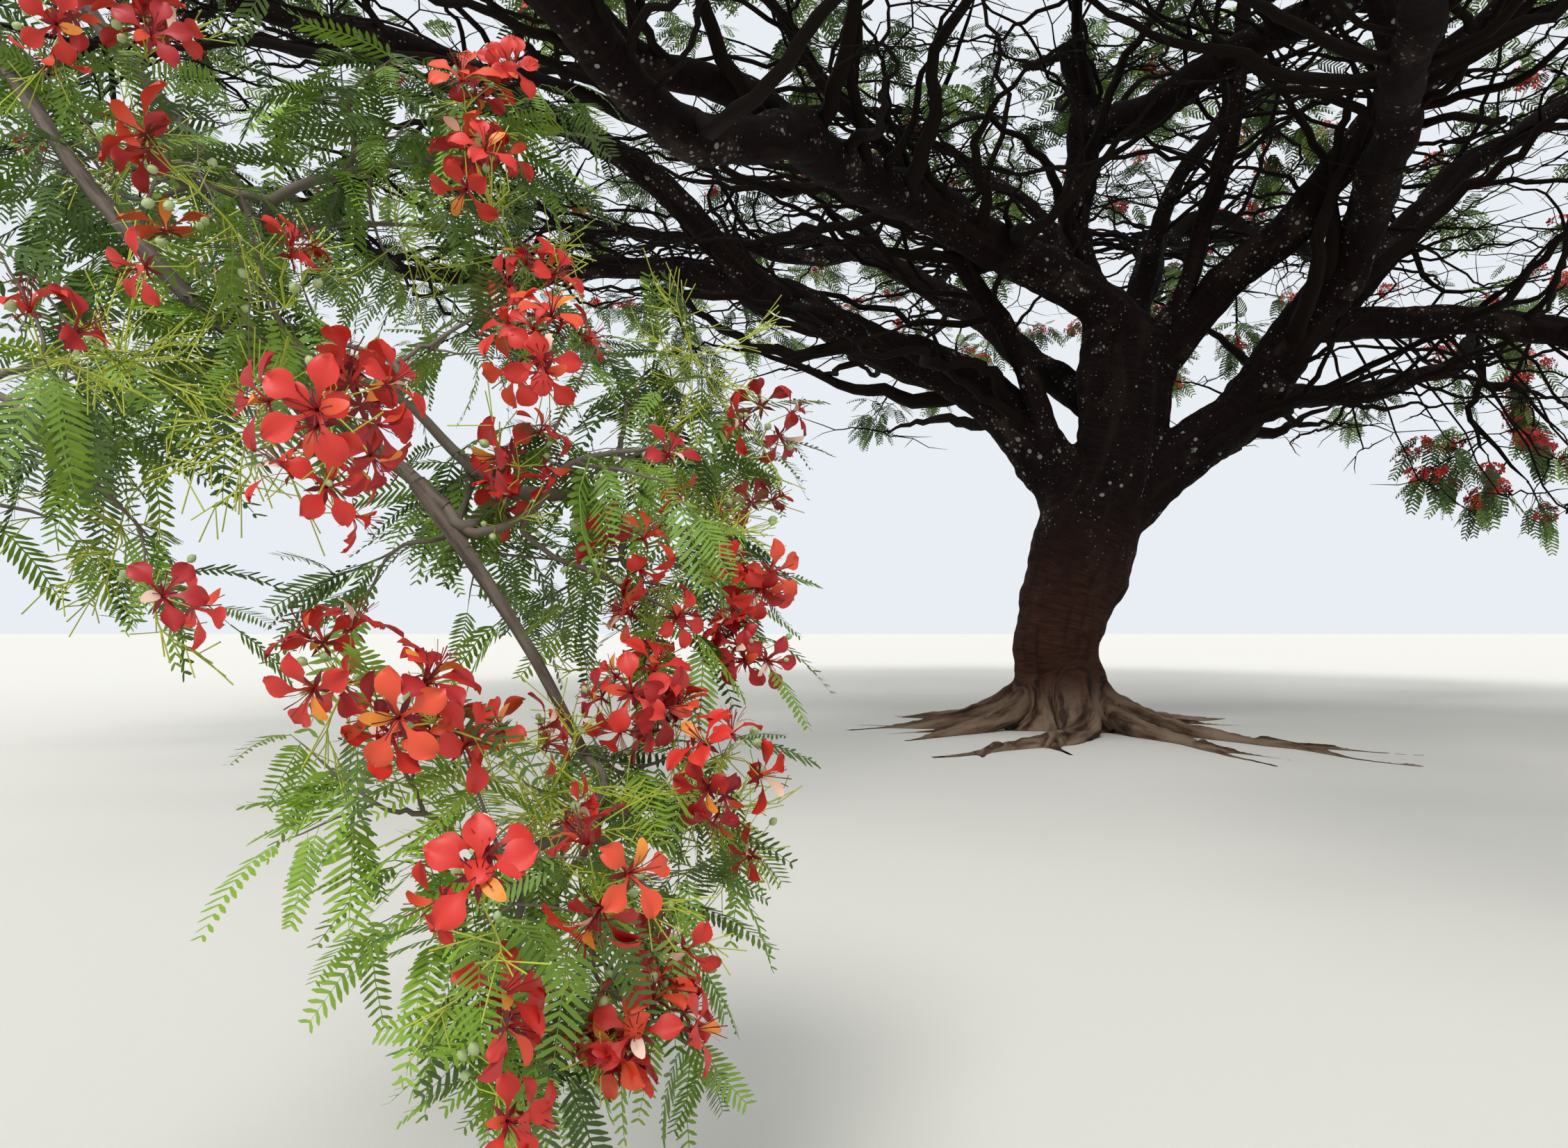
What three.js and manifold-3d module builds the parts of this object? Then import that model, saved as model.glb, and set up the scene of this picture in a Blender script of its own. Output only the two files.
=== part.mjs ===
// Flame tree in bloom: a low, leaning trunk on surface roots carries spreading boughs
// under a wide umbrella crown, and one bough hangs low at the front left.
// Millimetres, +Z up, origin in the middle of the flat cut at ground level.
import * as THREE from 'three';
import Module from 'manifold-3d';

const wasm = await Module();
wasm.setup();

// Fit between neighbouring pieces
const FIT_GAP = 0.3;
const CELL_MARGIN = 12;

// Finishes
const BARK = { colour: 0x4a3c34, roughness: 0.9 };
const FOLIAGE = { colour: 0x5d7a34, roughness: 0.8 };

// Trunk: height, sideways lean and radius of each station up to the fork
const TRUNK_STATIONS = [
  [-120, 0, 700],
  [140, -10, 610],
  [450, -50, 535],
  [950, -80, 495],
  [1500, 10, 535],
  [2250, 280, 600],
  [3100, 580, 520],
  [3800, 770, 455],
  [4400, 850, 440],
  [4750, 880, 470],
];
const TRUNK_SIDES = 14;
const BUTTRESS_DEPTH = 0.3;
const BUTTRESS_HOLLOW = 0.3;
const BUTTRESS_HEIGHT = 420;
const BUTTRESS_SPREAD = 24;

// Surface roots: they leave the trunk inside its flare and run out along the ground
const ROOT_SIDES = 5;
const ROOT_STEP = 700;
const ROOT_LIFT = 400;
const ROOT_FALL = 560;
const ROOT_START = 250;
const ROOT_TAPER = 0.8;
const ROOT_RISE = 0.3;
const ROOTS = [
  { heading: [176, 190, 200], length: 2500, base: 235, tip: 50 },
  { heading: [206, 220, 208], length: 2300, base: 190, tip: 45 },
  { heading: [272, 226, 214], length: 3500, base: 225, tip: 50 },
  { heading: [296, 284, 262], length: 3500, base: 160, tip: 35 },
  { heading: [322, 296, 288], length: 4100, base: 165, tip: 35 },
  { heading: [18, 30, 22], length: 2300, base: 190, tip: 45 },
  { heading: [78, 66, 84], length: 2000, base: 190, tip: 45 },
  { heading: [132, 146, 138], length: 2200, base: 190, tip: 45 },
];

// Boughs: each leaves the limb `on` at the fraction `at` of its length. Heading turns about +Z
// from +X, rise is the slope above level, both in degrees at the start, middle and end.
// `mass` names the foliage that its tip carries.
const LIMB_STEP = 900;
const KINK = 7;
const KINK_LENGTH = 1900;
const DIP_LENGTH = 2375;
const LIMB_SEED = 11;
const COLLAR = 0.22;
const COLLAR_LENGTH = 420;
const LIMB_SIDES = [[180, 7], [90, 6], [0, 5]];
const LIMBS = [
  { name: 'bough_left', on: 'trunk', at: 0.53, length: 5500,
    heading: [175, 182, 196], rise: [93, 29, 27], base: 385, tip: 205 },
  { name: 'bough_left_outer', on: 'bough_left', at: 0.98, length: 6050,
    heading: [152, 163, 155], rise: [32, 0, 42], base: 165, tip: 85, mass: 'crown_left' },
  { name: 'bough_left_upper', on: 'bough_left', at: 0.97, length: 6500,
    heading: [-151, -150, -171], rise: [43, 17, 4], base: 170, tip: 85, mass: 'crown_left_front' },
  { name: 'bough_inner_left', on: 'bough_left', at: 0.19, length: 6200,
    heading: [-127, -170, -144], rise: [65, 54, 40], base: 150, tip: 70, mass: 'crown_inner_left' },
  { name: 'bough_front_left', on: 'trunk', at: 0.97, length: 6100,
    heading: [-165, -138, -111], rise: [35, 5, -8], base: 300, tip: 225 },
  { name: 'bough_front_left_outer', on: 'bough_front_left', at: 0.99, length: 6600,
    heading: [-129, -113, -117], rise: [-41, 13, 12], base: 205, tip: 105, mass: 'crown_front_left' },
  { name: 'bough_front_left_upper', on: 'bough_front_left', at: 0.95, length: 5200,
    heading: [-157, -135, -195], rise: [18, 8, 65], base: 160, tip: 85, mass: 'crown_near_left' },
  { name: 'bough_upright', on: 'trunk', at: 0.97, length: 3950,
    heading: [180, 173, 191], rise: [36, 92, 74], base: 240, tip: 165 },
  { name: 'bough_front', on: 'bough_upright', at: 0.72, length: 9500,
    heading: [-63, -62, -51], rise: [-4, 0, -13], base: 205, tip: 85, mass: 'crown_front_right' },
  { name: 'bough_centre', on: 'trunk', at: 0.96, length: 4850,
    heading: [54, 19, 86], rise: [74, 60, 29], base: 130, tip: 65, mass: 'crown_centre' },
  { name: 'bough_inner_right', on: 'trunk', at: 0.92, length: 5050,
    heading: [-29, -79, -104], rise: [42, 68, 61], base: 120, tip: 65, mass: 'crown_inner_front' },
  { name: 'bough_right_upper', on: 'trunk', at: 0.83, length: 9400,
    heading: [-6, -66, 15], rise: [44, 24, -13], base: 255, tip: 85, mass: 'crown_right_front' },
  { name: 'bough_right', on: 'trunk', at: 0.55, length: 4200,
    heading: [-19, -9, -71], rise: [36, 44, 54], base: 390, tip: 265 },
  { name: 'bough_near', on: 'bough_right', at: 0.99, length: 9100,
    heading: [-92, -115, -69], rise: [34, -6, 30], base: 245, tip: 90, mass: 'crown_front' },
  { name: 'bough_near_inner', on: 'bough_near', at: 0.38, length: 5100,
    heading: [-157, -147, -196], rise: [74, 19, 16], base: 115, tip: 65, mass: 'crown_front_inner' },
  { name: 'bough_right_outer', on: 'bough_right', at: 0.93, length: 7000,
    heading: [16, 12, 26], rise: [38, 34, -12], base: 185, tip: 85, mass: 'crown_right' },
  { name: 'bough_right_level', on: 'bough_right', at: 0.86, length: 5950,
    heading: [12, -24, 12], rise: [20, -12, 53], base: 200, tip: 110, mass: 'crown_right_low' },
  { name: 'bough_right_low', on: 'bough_right', at: 0.45, length: 6150,
    heading: [47, 20, 54], rise: [32, 10, 37], base: 130, tip: 70, mass: 'crown_right_hanging' },
  { name: 'bough_back_right', on: 'trunk', at: 0.95, length: 9050,
    heading: [59, 67, 60], rise: [51, 21, 0], base: 200, tip: 80, mass: 'crown_back_right' },
  { name: 'bough_back_right_side', on: 'bough_back_right', at: 0.35, length: 6150,
    heading: [22, 40, 2], rise: [35, 1, 10], base: 130, tip: 75, mass: 'crown_side_right' },
  { name: 'bough_back', on: 'trunk', at: 0.89, length: 9750,
    heading: [91, 98, 99], rise: [48, 23, -5], base: 200, tip: 80, mass: 'crown_back' },
  { name: 'bough_back_inner', on: 'bough_back', at: 0.36, length: 3550,
    heading: [158, 131, 197], rise: [59, 41, 24], base: 100, tip: 60, mass: 'crown_inner_back' },
  { name: 'bough_back_left', on: 'trunk', at: 0.74, length: 10350,
    heading: [143, 125, 110], rise: [45, 28, -6], base: 220, tip: 80, mass: 'crown_back_left' },
  { name: 'bough_back_left_side', on: 'bough_back_left', at: 0.52, length: 6200,
    heading: [121, 169, 139], rise: [7, 12, -27], base: 125, tip: 75, mass: 'crown_side_left' },
  { name: 'hanging_bough', on: 'bough_front_left_outer', at: 0.72, length: 4900,
    heading: [-149, -88, 2], rise: [-23, -24, -57], base: 80, tip: 36 },
  { name: 'hanging_branch_upper', on: 'hanging_bough', at: 0.99, length: 1250,
    heading: [-21, -8, 11], rise: [-50, -56, -57], base: 26, tip: 16, mass: 'spray_upper' },
  { name: 'hanging_branch_left', on: 'hanging_bough', at: 0.97, length: 1700,
    heading: [-84, -60, -2], rise: [-55, -69, -60], base: 22, tip: 14, mass: 'spray_left' },
  { name: 'hanging_branch_middle', on: 'hanging_bough', at: 0.99, length: 2200,
    heading: [-60, -24, 15], rise: [-78, -50, -27], base: 28, tip: 17, mass: 'spray_middle' },
  { name: 'hanging_branch_low', on: 'hanging_branch_middle', at: 0.97, length: 550,
    heading: [2, -4, 0], rise: [-62, -65, -49], base: 18, tip: 12, mass: 'spray_low' },
];

// Crown: an umbrella whose edge drops at the front and rises at the back
const CROWN_TOP = 10650;
const CROWN_RADIUS = 11700;
const CROWN_LOBE = 650;
const CROWN_LOBE_HEADING = 240;
const RIM_HEIGHT = 6000;
const RIM_TILT = 1200;
const RIM_TILT_HEADING = 110;
const CROWN_SWELL = 2.8;
const CROWN_SPRAYS = 236;
const CROWN_LAYERS = [0, 450, 1500];
const GOLDEN_ANGLE = Math.PI * (3 - Math.sqrt(5));
const SEED_AHEAD = 700;

// Foliage: a leaf stands for a spray, a star for a cluster of blossom
const CROWN_SPRAY = {
  leaf: 2000, width: 0.64, thick: 0.03, twig: 20, droop: 0.12, bloom: 330, every: 12, clear: 25 };
const HANGING_SPRAY = {
  leaf: 900, width: 0.5, thick: 0.04, twig: 10, droop: 0.7, bloom: 190, every: 5, clear: 25 };
const NEAR_SPRAY = {
  leaf: 340, width: 0.5, thick: 0.03, twig: 4, droop: 0.55, bloom: 85, every: 3, clear: 13 };
const LEAF_TRIES = [1, 0.82, 0.66, 0.5];
const LEAF_OVERSHOOT = 1.5;
const LEAF_SHORTEST = 0.75;
const LEAF_LONGEST = 1.2;
const LEAF_WIDEST = 0.45;
const LEAF_STEEPEST = 0.45;
const LEAF_NOD = 0.4;
const LEAF_ROLL = 0.8;
const PETALS = 5;
const BLOOM_THICKNESS = 0.5;
const BLOOM_WAIST = 0.5;
const BLOOM_LIFT = 0.11;
const BLOOM_SETBACK = 0.2;
const BLOOM_TURN = 0.37;
const INNER_DEPTH = 0.62;
const GOLDEN_RATIO = 0.618;

// Twigs: a fork lies part of the way to its leaves' middle, radii follow the number of leaves
const TWIG_SIDES = 3;
const TWIG_LEAVES = 4;
const TWIG_REACH = 0.72;
const LAST_ROOT = 0.9;
const FORK_REACH = 0.45;
const SHARP_TURN = 65;
const PIPE_POWER = 1 / 2.3;
const SIDE_TWIG = 0.8;
const STEM_LENGTH = 17;
const STEM_SWELL = 1.15;
const STEM_FIT = 0.9;
const MASS_SEED = 7919;

// Hanging foliage: sprays fill an ellipsoid set off from the bough's tip, `space` is set off to
// the middle of the mass's own space
const HANGING = {
  crown_right_low: { style: HANGING_SPRAY, sprays: 6,
    offset: [900, -300, -900], half: [1900, 1300, 1100], space: [600, -300, -300] },
  crown_right_hanging: { style: HANGING_SPRAY, sprays: 10,
    offset: [500, 300, -1500], half: [1700, 1500, 1200], space: [500, 400, -500] },
  spray_upper: { style: NEAR_SPRAY, sprays: 9,
    offset: [290, 0, 0], half: [480, 330, 330], space: [290, 100, 300] },
  spray_left: { style: NEAR_SPRAY, sprays: 8,
    offset: [100, 0, -350], half: [350, 260, 520], space: [-60, -50, -500] },
  spray_middle: { style: NEAR_SPRAY, sprays: 10,
    offset: [230, 50, 50], half: [400, 330, 420], space: [300, 100, 150] },
  spray_low: { style: NEAR_SPRAY, sprays: 10,
    offset: [-30, 0, -260], half: [420, 330, 430], space: [-40, -50, -330] },
};

const radians = THREE.MathUtils.degToRad;

// Park and Miller's generator, so that every run draws the same numbers
function seeded(seed) {
  let state = seed;
  return () => {
    state = (state * 16807) % 2147483647;
    return state / 2147483647;
  };
}

// Quadratic through a value at the start, middle and end
function between([first, middle, last], t) {
  return first * (1 - t) * (1 - 2 * t) + middle * 4 * t * (1 - t) + last * t * (2 * t - 1);
}

function direction(heading, rise) {
  const level = Math.cos(radians(rise));
  return new THREE.Vector3(
    level * Math.cos(radians(heading)), level * Math.sin(radians(heading)), Math.sin(radians(rise)));
}

function manifoldFrom(vertices, faces) {
  const vertProperties = new Float32Array(vertices.flatMap((v) => [v.x, v.y, v.z]));
  const triVerts = new Uint32Array(faces.flat());
  return new wasm.Manifold(new wasm.Mesh({ numProp: 3, vertProperties, triVerts }));
}

function stretchWay(points, i) {
  return points[i + 1].clone().sub(points[i]).normalize();
}

function tangentAt(points, i) {
  const last = points.length - 1;
  const before = stretchWay(points, Math.max(i - 1, 0));
  const after = stretchWay(points, Math.min(i, last - 1));
  return before.add(after).normalize();
}

// Closed tube of flat-sided rings, `shape` scales each corner of a ring
function tube(points, radii, sides, shape = () => 1) {
  const vertices = [];
  const faces = [];
  const start = tangentAt(points, 0);
  const upright = Math.abs(start.z) > Math.hypot(start.x, start.y);
  let across = upright ? new THREE.Vector3(1, 0, 0) : new THREE.Vector3(0, 0, 1);
  points.forEach((point, i) => {
    const along = tangentAt(points, i);
    across = across.clone().addScaledVector(along, -across.dot(along)).normalize();
    const around = along.clone().cross(across);
    for (let k = 0; k < sides; k += 1) {
      const angle = (2 * Math.PI * k) / sides;
      const radius = radii[i] * shape(angle, point.z);
      vertices.push(point.clone()
        .addScaledVector(across, radius * Math.cos(angle))
        .addScaledVector(around, radius * Math.sin(angle)));
    }
  });
  const last = (points.length - 1) * sides;
  for (let i = 0; i < last; i += sides) {
    for (let k = 0; k < sides; k += 1) {
      const next = (k + 1) % sides;
      faces.push([i + k, i + next, i + sides + next], [i + k, i + sides + next, i + sides + k]);
    }
  }
  for (let k = 1; k + 1 < sides; k += 1) {
    faces.push([0, k + 1, k], [last, last + k, last + k + 1]);
  }
  return manifoldFrom(vertices, faces);
}

// The same tube with the fit gap all round it and past its ends, to cut its neighbours with
function cutterTube(points, radii, sides, shape) {
  const last = points.length - 1;
  const longer = points.map((point) => point.clone());
  longer[0].addScaledVector(tangentAt(points, 0), -2 * FIT_GAP);
  longer[last].addScaledVector(tangentAt(points, last), 2 * FIT_GAP);
  return tube(longer, radii.map((radius) => radius + 2 * FIT_GAP), sides, shape);
}

// Thin solid over a flat outline, with one peak above its middle and one below
function peakedPlate(outline, middle, normal, thickness) {
  const count = outline.length;
  const vertices = [...outline,
    middle.clone().addScaledVector(normal, thickness / 2),
    middle.clone().addScaledVector(normal, -thickness / 2)];
  const faces = [];
  for (let k = 0; k < count; k += 1) {
    const next = (k + 1) % count;
    faces.push([k, next, count], [next, k, count + 1]);
  }
  return manifoldFrom(vertices, faces);
}

function largestPiece(solid) {
  return solid.decompose().reduce((best, piece) => (piece.volume() > best.volume() ? piece : best));
}

function boxesMeet(a, b) {
  const one = a.boundingBox();
  const two = b.boundingBox();
  return [0, 1, 2].every((k) => one.min[k] <= two.max[k] && two.min[k] <= one.max[k]);
}

function cutClear(solid, cutters) {
  return cutters.filter((cutter) => boxesMeet(solid, cutter))
    .reduce((left, cutter) => left.subtract(cutter), solid);
}

// Trunk with buttresses that run out into surface roots
function trunkAxis() {
  return TRUNK_STATIONS.map(([height, lean]) => new THREE.Vector3(lean, 0, height));
}

function buttress(angle, height) {
  const apart = ROOTS.map(({ heading }) => {
    const turn = THREE.MathUtils.radToDeg(angle) - heading[0];
    return Math.abs(THREE.MathUtils.euclideanModulo(turn + 180, 360) - 180);
  });
  const lobe = Math.exp(-((Math.min(...apart) / BUTTRESS_SPREAD) ** 2));
  return 1 + BUTTRESS_DEPTH * (lobe - BUTTRESS_HOLLOW) * Math.exp(-Math.max(height, 0) / BUTTRESS_HEIGHT);
}

function rootSolid({ heading, length, base, tip }) {
  const steps = Math.round(length / ROOT_STEP);
  const point = direction(heading[0], 0).multiplyScalar(ROOT_START);
  const points = [];
  const radii = [];
  for (let i = 0; i <= steps; i += 1) {
    const t = i / steps;
    const radius = THREE.MathUtils.lerp(base, tip, t ** ROOT_TAPER);
    point.z = ROOT_LIFT * Math.exp((-t * length) / ROOT_FALL) + radius * ROOT_RISE * (1 - t);
    points.push(point.clone());
    radii.push(radius);
    point.addScaledVector(direction(between(heading, t), 0), length / steps);
  }
  return tube(points, radii, ROOT_SIDES);
}

function trunkSolid(makeTube) {
  const radii = TRUNK_STATIONS.map(([, , radius]) => radius);
  let solid = makeTube(trunkAxis(), radii, TRUNK_SIDES, buttress);
  for (const root of ROOTS) {
    solid = solid.add(rootSolid(root));
  }
  const reach = 2 * CROWN_RADIUS;
  const soil = new THREE.BoxGeometry(reach, reach, reach).translate(0, 0, -reach / 2);
  return largestPiece(solid.subtract(solidOf(soil)));
}

// Closed solid from a three.js geometry, whose doubled corners are joined
function solidOf(geometry) {
  const corners = new Map();
  const vertices = [];
  const position = geometry.attributes.position;
  const faces = [];
  const at = (i) => {
    const corner = new THREE.Vector3().fromBufferAttribute(position, i);
    const key = corner.toArray().join();
    if (!corners.has(key)) {
      corners.set(key, vertices.length);
      vertices.push(corner);
    }
    return corners.get(key);
  };
  for (let i = 0; i < geometry.index.count; i += 3) {
    faces.push([0, 1, 2].map((k) => at(geometry.index.getX(i + k))));
  }
  return manifoldFrom(vertices, faces);
}

// Boughs
function pointAlong(axis, fraction) {
  const place = fraction * (axis.length - 1);
  const i = Math.min(Math.floor(place), axis.length - 2);
  return axis[i].clone().lerp(axis[i + 1], place - i);
}

function limbAxis({ length, heading, rise }, start, seed) {
  const draw = seeded(seed);
  const turnPhase = 2 * Math.PI * draw();
  const dipPhase = 2 * Math.PI * draw();
  const steps = Math.ceil(length / LIMB_STEP);
  const points = [start.clone()];
  for (let i = 0; i < steps; i += 1) {
    const t = (i + 0.5) / steps;
    const gone = 2 * Math.PI * t * length;
    const step = direction(
      between(heading, t) + KINK * Math.sin(gone / KINK_LENGTH + turnPhase),
      between(rise, t) + KINK * Math.sin(gone / DIP_LENGTH + dipPhase));
    points.push(points[i].clone().addScaledVector(step, length / steps));
  }
  return points;
}

function limbRadius({ length, base, tip }, t) {
  const collar = 1 + COLLAR * Math.exp((-t * length) / COLLAR_LENGTH);
  return THREE.MathUtils.lerp(base, tip, t) * collar;
}

function limbSides({ base }) {
  const [, sides] = LIMB_SIDES.find(([least]) => base > least);
  return sides;
}

function isNear(mass) {
  return HANGING[mass]?.style === NEAR_SPRAY;
}

// Foliage spaces: each mass keeps to the points that lie nearest to its own seed
function cellSeed({ axis, mass }) {
  const tip = axis.at(-1).clone();
  if (HANGING[mass]) return tip.add(new THREE.Vector3(...HANGING[mass].space));
  return tip.addScaledVector(tangentAt(axis, axis.length - 1), SEED_AHEAD);
}

function inCell(point, own, seeds) {
  return seeds.every((seed) => {
    if (seed === own) return true;
    const apart = seed.distanceTo(own);
    return (point.distanceToSquared(seed) - point.distanceToSquared(own)) / (2 * apart) > CELL_MARGIN;
  });
}

function clearOfLimbs(point, limbs, clearance) {
  return limbs.every(({ axis, radii }) => axis.every((station, i) => {
    if (i === 0) return true;
    const stretch = new THREE.Line3(axis[i - 1], station);
    const nearest = stretch.closestPointToPoint(point, true, new THREE.Vector3());
    return nearest.distanceTo(point) > Math.max(radii[i - 1], radii[i]) + clearance;
  }));
}

function crownTargets() {
  const targets = [];
  for (let i = 0; i < CROWN_SPRAYS; i += 1) {
    const spread = Math.sqrt((i + 0.5) / CROWN_SPRAYS);
    const angle = i * GOLDEN_ANGLE;
    const edge = CROWN_RADIUS + CROWN_LOBE * Math.cos(angle - radians(CROWN_LOBE_HEADING));
    const rim = RIM_HEIGHT + RIM_TILT * Math.cos(angle - radians(RIM_TILT_HEADING));
    const height = rim + (CROWN_TOP - rim) * (1 - spread ** CROWN_SWELL);
    targets.push(new THREE.Vector3(
      edge * spread * Math.cos(angle), edge * spread * Math.sin(angle),
      height - CROWN_LAYERS[i % CROWN_LAYERS.length]));
  }
  return targets;
}

// Points spread evenly through an ellipsoid
function hangingTargets({ offset, half, sprays }, tip) {
  const centre = tip.clone().add(new THREE.Vector3(...offset));
  const targets = [];
  for (let i = 0; i < sprays; i += 1) {
    const height = 1 - (2 * i + 1) / sprays;
    const ring = Math.sqrt(1 - height * height);
    const depth = THREE.MathUtils.lerp(INNER_DEPTH, 1, (i * GOLDEN_RATIO) % 1);
    const onSphere = new THREE.Vector3(
      ring * Math.cos(i * GOLDEN_ANGLE), ring * Math.sin(i * GOLDEN_ANGLE), height);
    targets.push(onSphere.multiply(new THREE.Vector3(...half)).multiplyScalar(depth).add(centre));
  }
  return targets;
}

// One spray: a four-cornered leaf from its root on the twig to beyond its target
function placeLeaf(root, target, style, scale, draw) {
  const toTarget = target.clone().sub(root);
  const along = toTarget.clone().normalize();
  const slope = THREE.MathUtils.clamp(along.z, -LEAF_STEEPEST, LEAF_STEEPEST);
  along.setZ(slope + (draw() - 0.5) * LEAF_NOD - style.droop).normalize();
  const side = new THREE.Vector3(-along.y, along.x, (draw() - 0.5) * LEAF_ROLL).normalize();
  const normal = along.clone().cross(side).normalize();
  const reach = THREE.MathUtils.clamp(
    LEAF_OVERSHOOT * toTarget.length(), LEAF_SHORTEST * style.leaf, LEAF_LONGEST * style.leaf);
  const length = reach * scale;
  const tip = root.clone().addScaledVector(along, length);
  const widest = root.clone().addScaledVector(along, length * LEAF_WIDEST);
  const halfWidth = (style.leaf * style.width * scale) / 2;
  const outline = [root, widest.clone().addScaledVector(side, -halfWidth), tip,
    widest.clone().addScaledVector(side, halfWidth)];
  const middles = [0.3, 0.75, 1].map((t) => root.clone().lerp(widest, t));
  return { tip, along, side, normal, widest, outline, style, probes: [...outline.slice(1), ...middles] };
}

// A star of blossom, turned a little to one side, that sits just above the leaf's tip
function placeBloom({ tip, along, side, normal, style }) {
  const middle = tip.clone().addScaledVector(normal, BLOOM_LIFT * style.bloom)
    .addScaledVector(along, -BLOOM_SETBACK * style.bloom);
  const outline = [];
  for (let k = 0; k < 2 * PETALS; k += 1) {
    const reach = style.bloom * (k % 2 === 0 ? 1 : BLOOM_WAIST);
    const angle = (Math.PI * k) / PETALS + BLOOM_TURN;
    outline.push(middle.clone()
      .addScaledVector(along, reach * Math.cos(angle)).addScaledVector(side, reach * Math.sin(angle)));
  }
  return { middle, outline };
}

// Twigs: the targets are halved again and again, each half forks off on the way to its middle,
// and the last twigs run straight on with up to four leaves along them
function middleOf(points) {
  return points.reduce((total, point) => total.add(point), new THREE.Vector3()).divideScalar(points.length);
}

function farthestFrom(point, targets) {
  return targets.reduce((best, next) => (
    next.point.distanceTo(point) > best.point.distanceTo(point) ? next : best));
}

function halve(targets) {
  const one = farthestFrom(targets[0].point, targets).point;
  const other = farthestFrom(one, targets).point;
  const axis = other.clone().sub(one);
  const sorted = [...targets].sort((a, b) => a.point.dot(axis) - b.point.dot(axis));
  const half = Math.ceil(targets.length / 2);
  return [sorted.slice(0, half), sorted.slice(half)];
}

function growTwigs(strand, targets, twigRadius, strands) {
  const from = strand.points.at(-1);
  if (targets.length <= TWIG_LEAVES) {
    const sorted = [...targets].sort((a, b) => a.point.distanceTo(from) - b.point.distanceTo(from));
    const end = from.clone().lerp(sorted.at(-1).point, TWIG_REACH);
    strand.leaves = sorted.map((target, i) => ({
      ...target, root: from.clone().lerp(end, (i + LAST_ROOT) / sorted.length) }));
    strand.points.push(end);
    strand.radii.push(twigRadius);
    strands.push(strand);
    return;
  }
  const fork = from.clone().lerp(middleOf(targets.map(({ point }) => point)), FORK_REACH);
  const radius = twigRadius * targets.length ** PIPE_POWER;
  strand.points.push(fork);
  strand.radii.push(radius);
  const way = fork.clone().sub(from);
  const turnTo = (half) => middleOf(half.map(({ point }) => point)).sub(fork).angleTo(way);
  const [one, other] = halve(targets).sort((a, b) => turnTo(a) - turnTo(b));
  const sideTwig = () => ({ points: [fork], radii: [radius * SIDE_TWIG] });
  if (turnTo(one) < radians(SHARP_TURN)) {
    growTwigs(strand, one, twigRadius, strands);
  } else {
    strands.push(strand);
    growTwigs(sideTwig(), one, twigRadius, strands);
  }
  growTwigs(sideTwig(), other, twigRadius, strands);
}

function strandSamples({ points }) {
  const samples = [];
  for (let i = 1; i < points.length; i += 1) {
    for (let k = 1; k <= 4; k += 1) {
      samples.push(points[i - 1].clone().lerp(points[i], k / 4));
    }
  }
  return samples.slice(3);
}

function massSolid({ limb, index, targets, fits }, cutters) {
  const draw = seeded(MASS_SEED * (index + 3));
  const twigRadius = targets[0].style.twig;
  const stemRadius = Math.min(
    limb.tip * STEM_FIT, STEM_SWELL * twigRadius * targets.length ** PIPE_POWER);
  const stem = [0, STEM_LENGTH * twigRadius].map((reach) => (
    limb.axis.at(-1).clone().addScaledVector(tangentAt(limb.axis, limb.axis.length - 1), reach)));
  const strands = [];
  growTwigs({ points: stem, radii: [stemRadius, stemRadius] }, targets, twigRadius, strands);
  const pieces = [];
  let placed = 0;
  for (const strand of strands.filter((each) => strandSamples(each).every(fits))) {
    pieces.push(tube(strand.points, strand.radii, TWIG_SIDES));
    for (const { point, style, root } of strand.leaves ?? []) {
      const leaf = LEAF_TRIES.map((scale) => placeLeaf(root, point, style, scale, draw))
        .find(({ probes }) => probes.every(fits));
      if (leaf) {
        placed += 1;
        pieces.push(peakedPlate(leaf.outline, leaf.widest, leaf.normal, style.leaf * style.thick));
        const bloom = placeBloom(leaf);
        if (placed % style.every === 2 && bloom.outline.every(fits)) {
          pieces.push(peakedPlate(bloom.outline, bloom.middle, leaf.normal, style.bloom * BLOOM_THICKNESS));
        }
      }
    }
  }
  return largestPiece(cutClear(pieces.reduce((solid, piece) => solid.add(piece)), cutters));
}

function meshOf(name, solid, { colour, roughness }) {
  const { vertProperties, triVerts, numProp } = solid.getMesh();
  const geometry = new THREE.BufferGeometry();
  const positions = new Float32Array((vertProperties.length / numProp) * 3);
  for (let i = 0; i < positions.length / 3; i += 1) {
    positions.set(vertProperties.subarray(i * numProp, i * numProp + 3), i * 3);
  }
  geometry.setAttribute('position', new THREE.BufferAttribute(positions, 3));
  geometry.setIndex(new THREE.BufferAttribute(triVerts.slice(), 1));
  geometry.computeVertexNormals();
  const material = new THREE.MeshStandardMaterial({ color: colour, roughness, metalness: 0 });
  const mesh = new THREE.Mesh(geometry, material);
  mesh.name = name;
  return mesh;
}

const tree = new THREE.Group();
const wood = new Map([['trunk', { axis: trunkAxis() }]]);
const cutters = [trunkSolid(cutterTube)];
tree.add(meshOf('trunk', trunkSolid(tube), BARK));

const wholeTrunk = { axis: trunkAxis(), radii: TRUNK_STATIONS.map(([, , radius]) => radius) };
const allLimbs = [wholeTrunk];
LIMBS.forEach((limb, index) => {
  const axis = limbAxis(limb, pointAlong(wood.get(limb.on).axis, limb.at), index + LIMB_SEED);
  const radii = axis.map((_, i) => limbRadius(limb, i / (axis.length - 1)));
  const grown = { ...limb, axis, radii };
  wood.set(limb.name, grown);
  allLimbs.push(grown);
  const solid = largestPiece(cutClear(tube(axis, radii, limbSides(limb)), cutters));
  cutters.push(cutterTube(axis, radii, limbSides(limb)));
  tree.add(meshOf(limb.name, solid, BARK));
});

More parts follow.
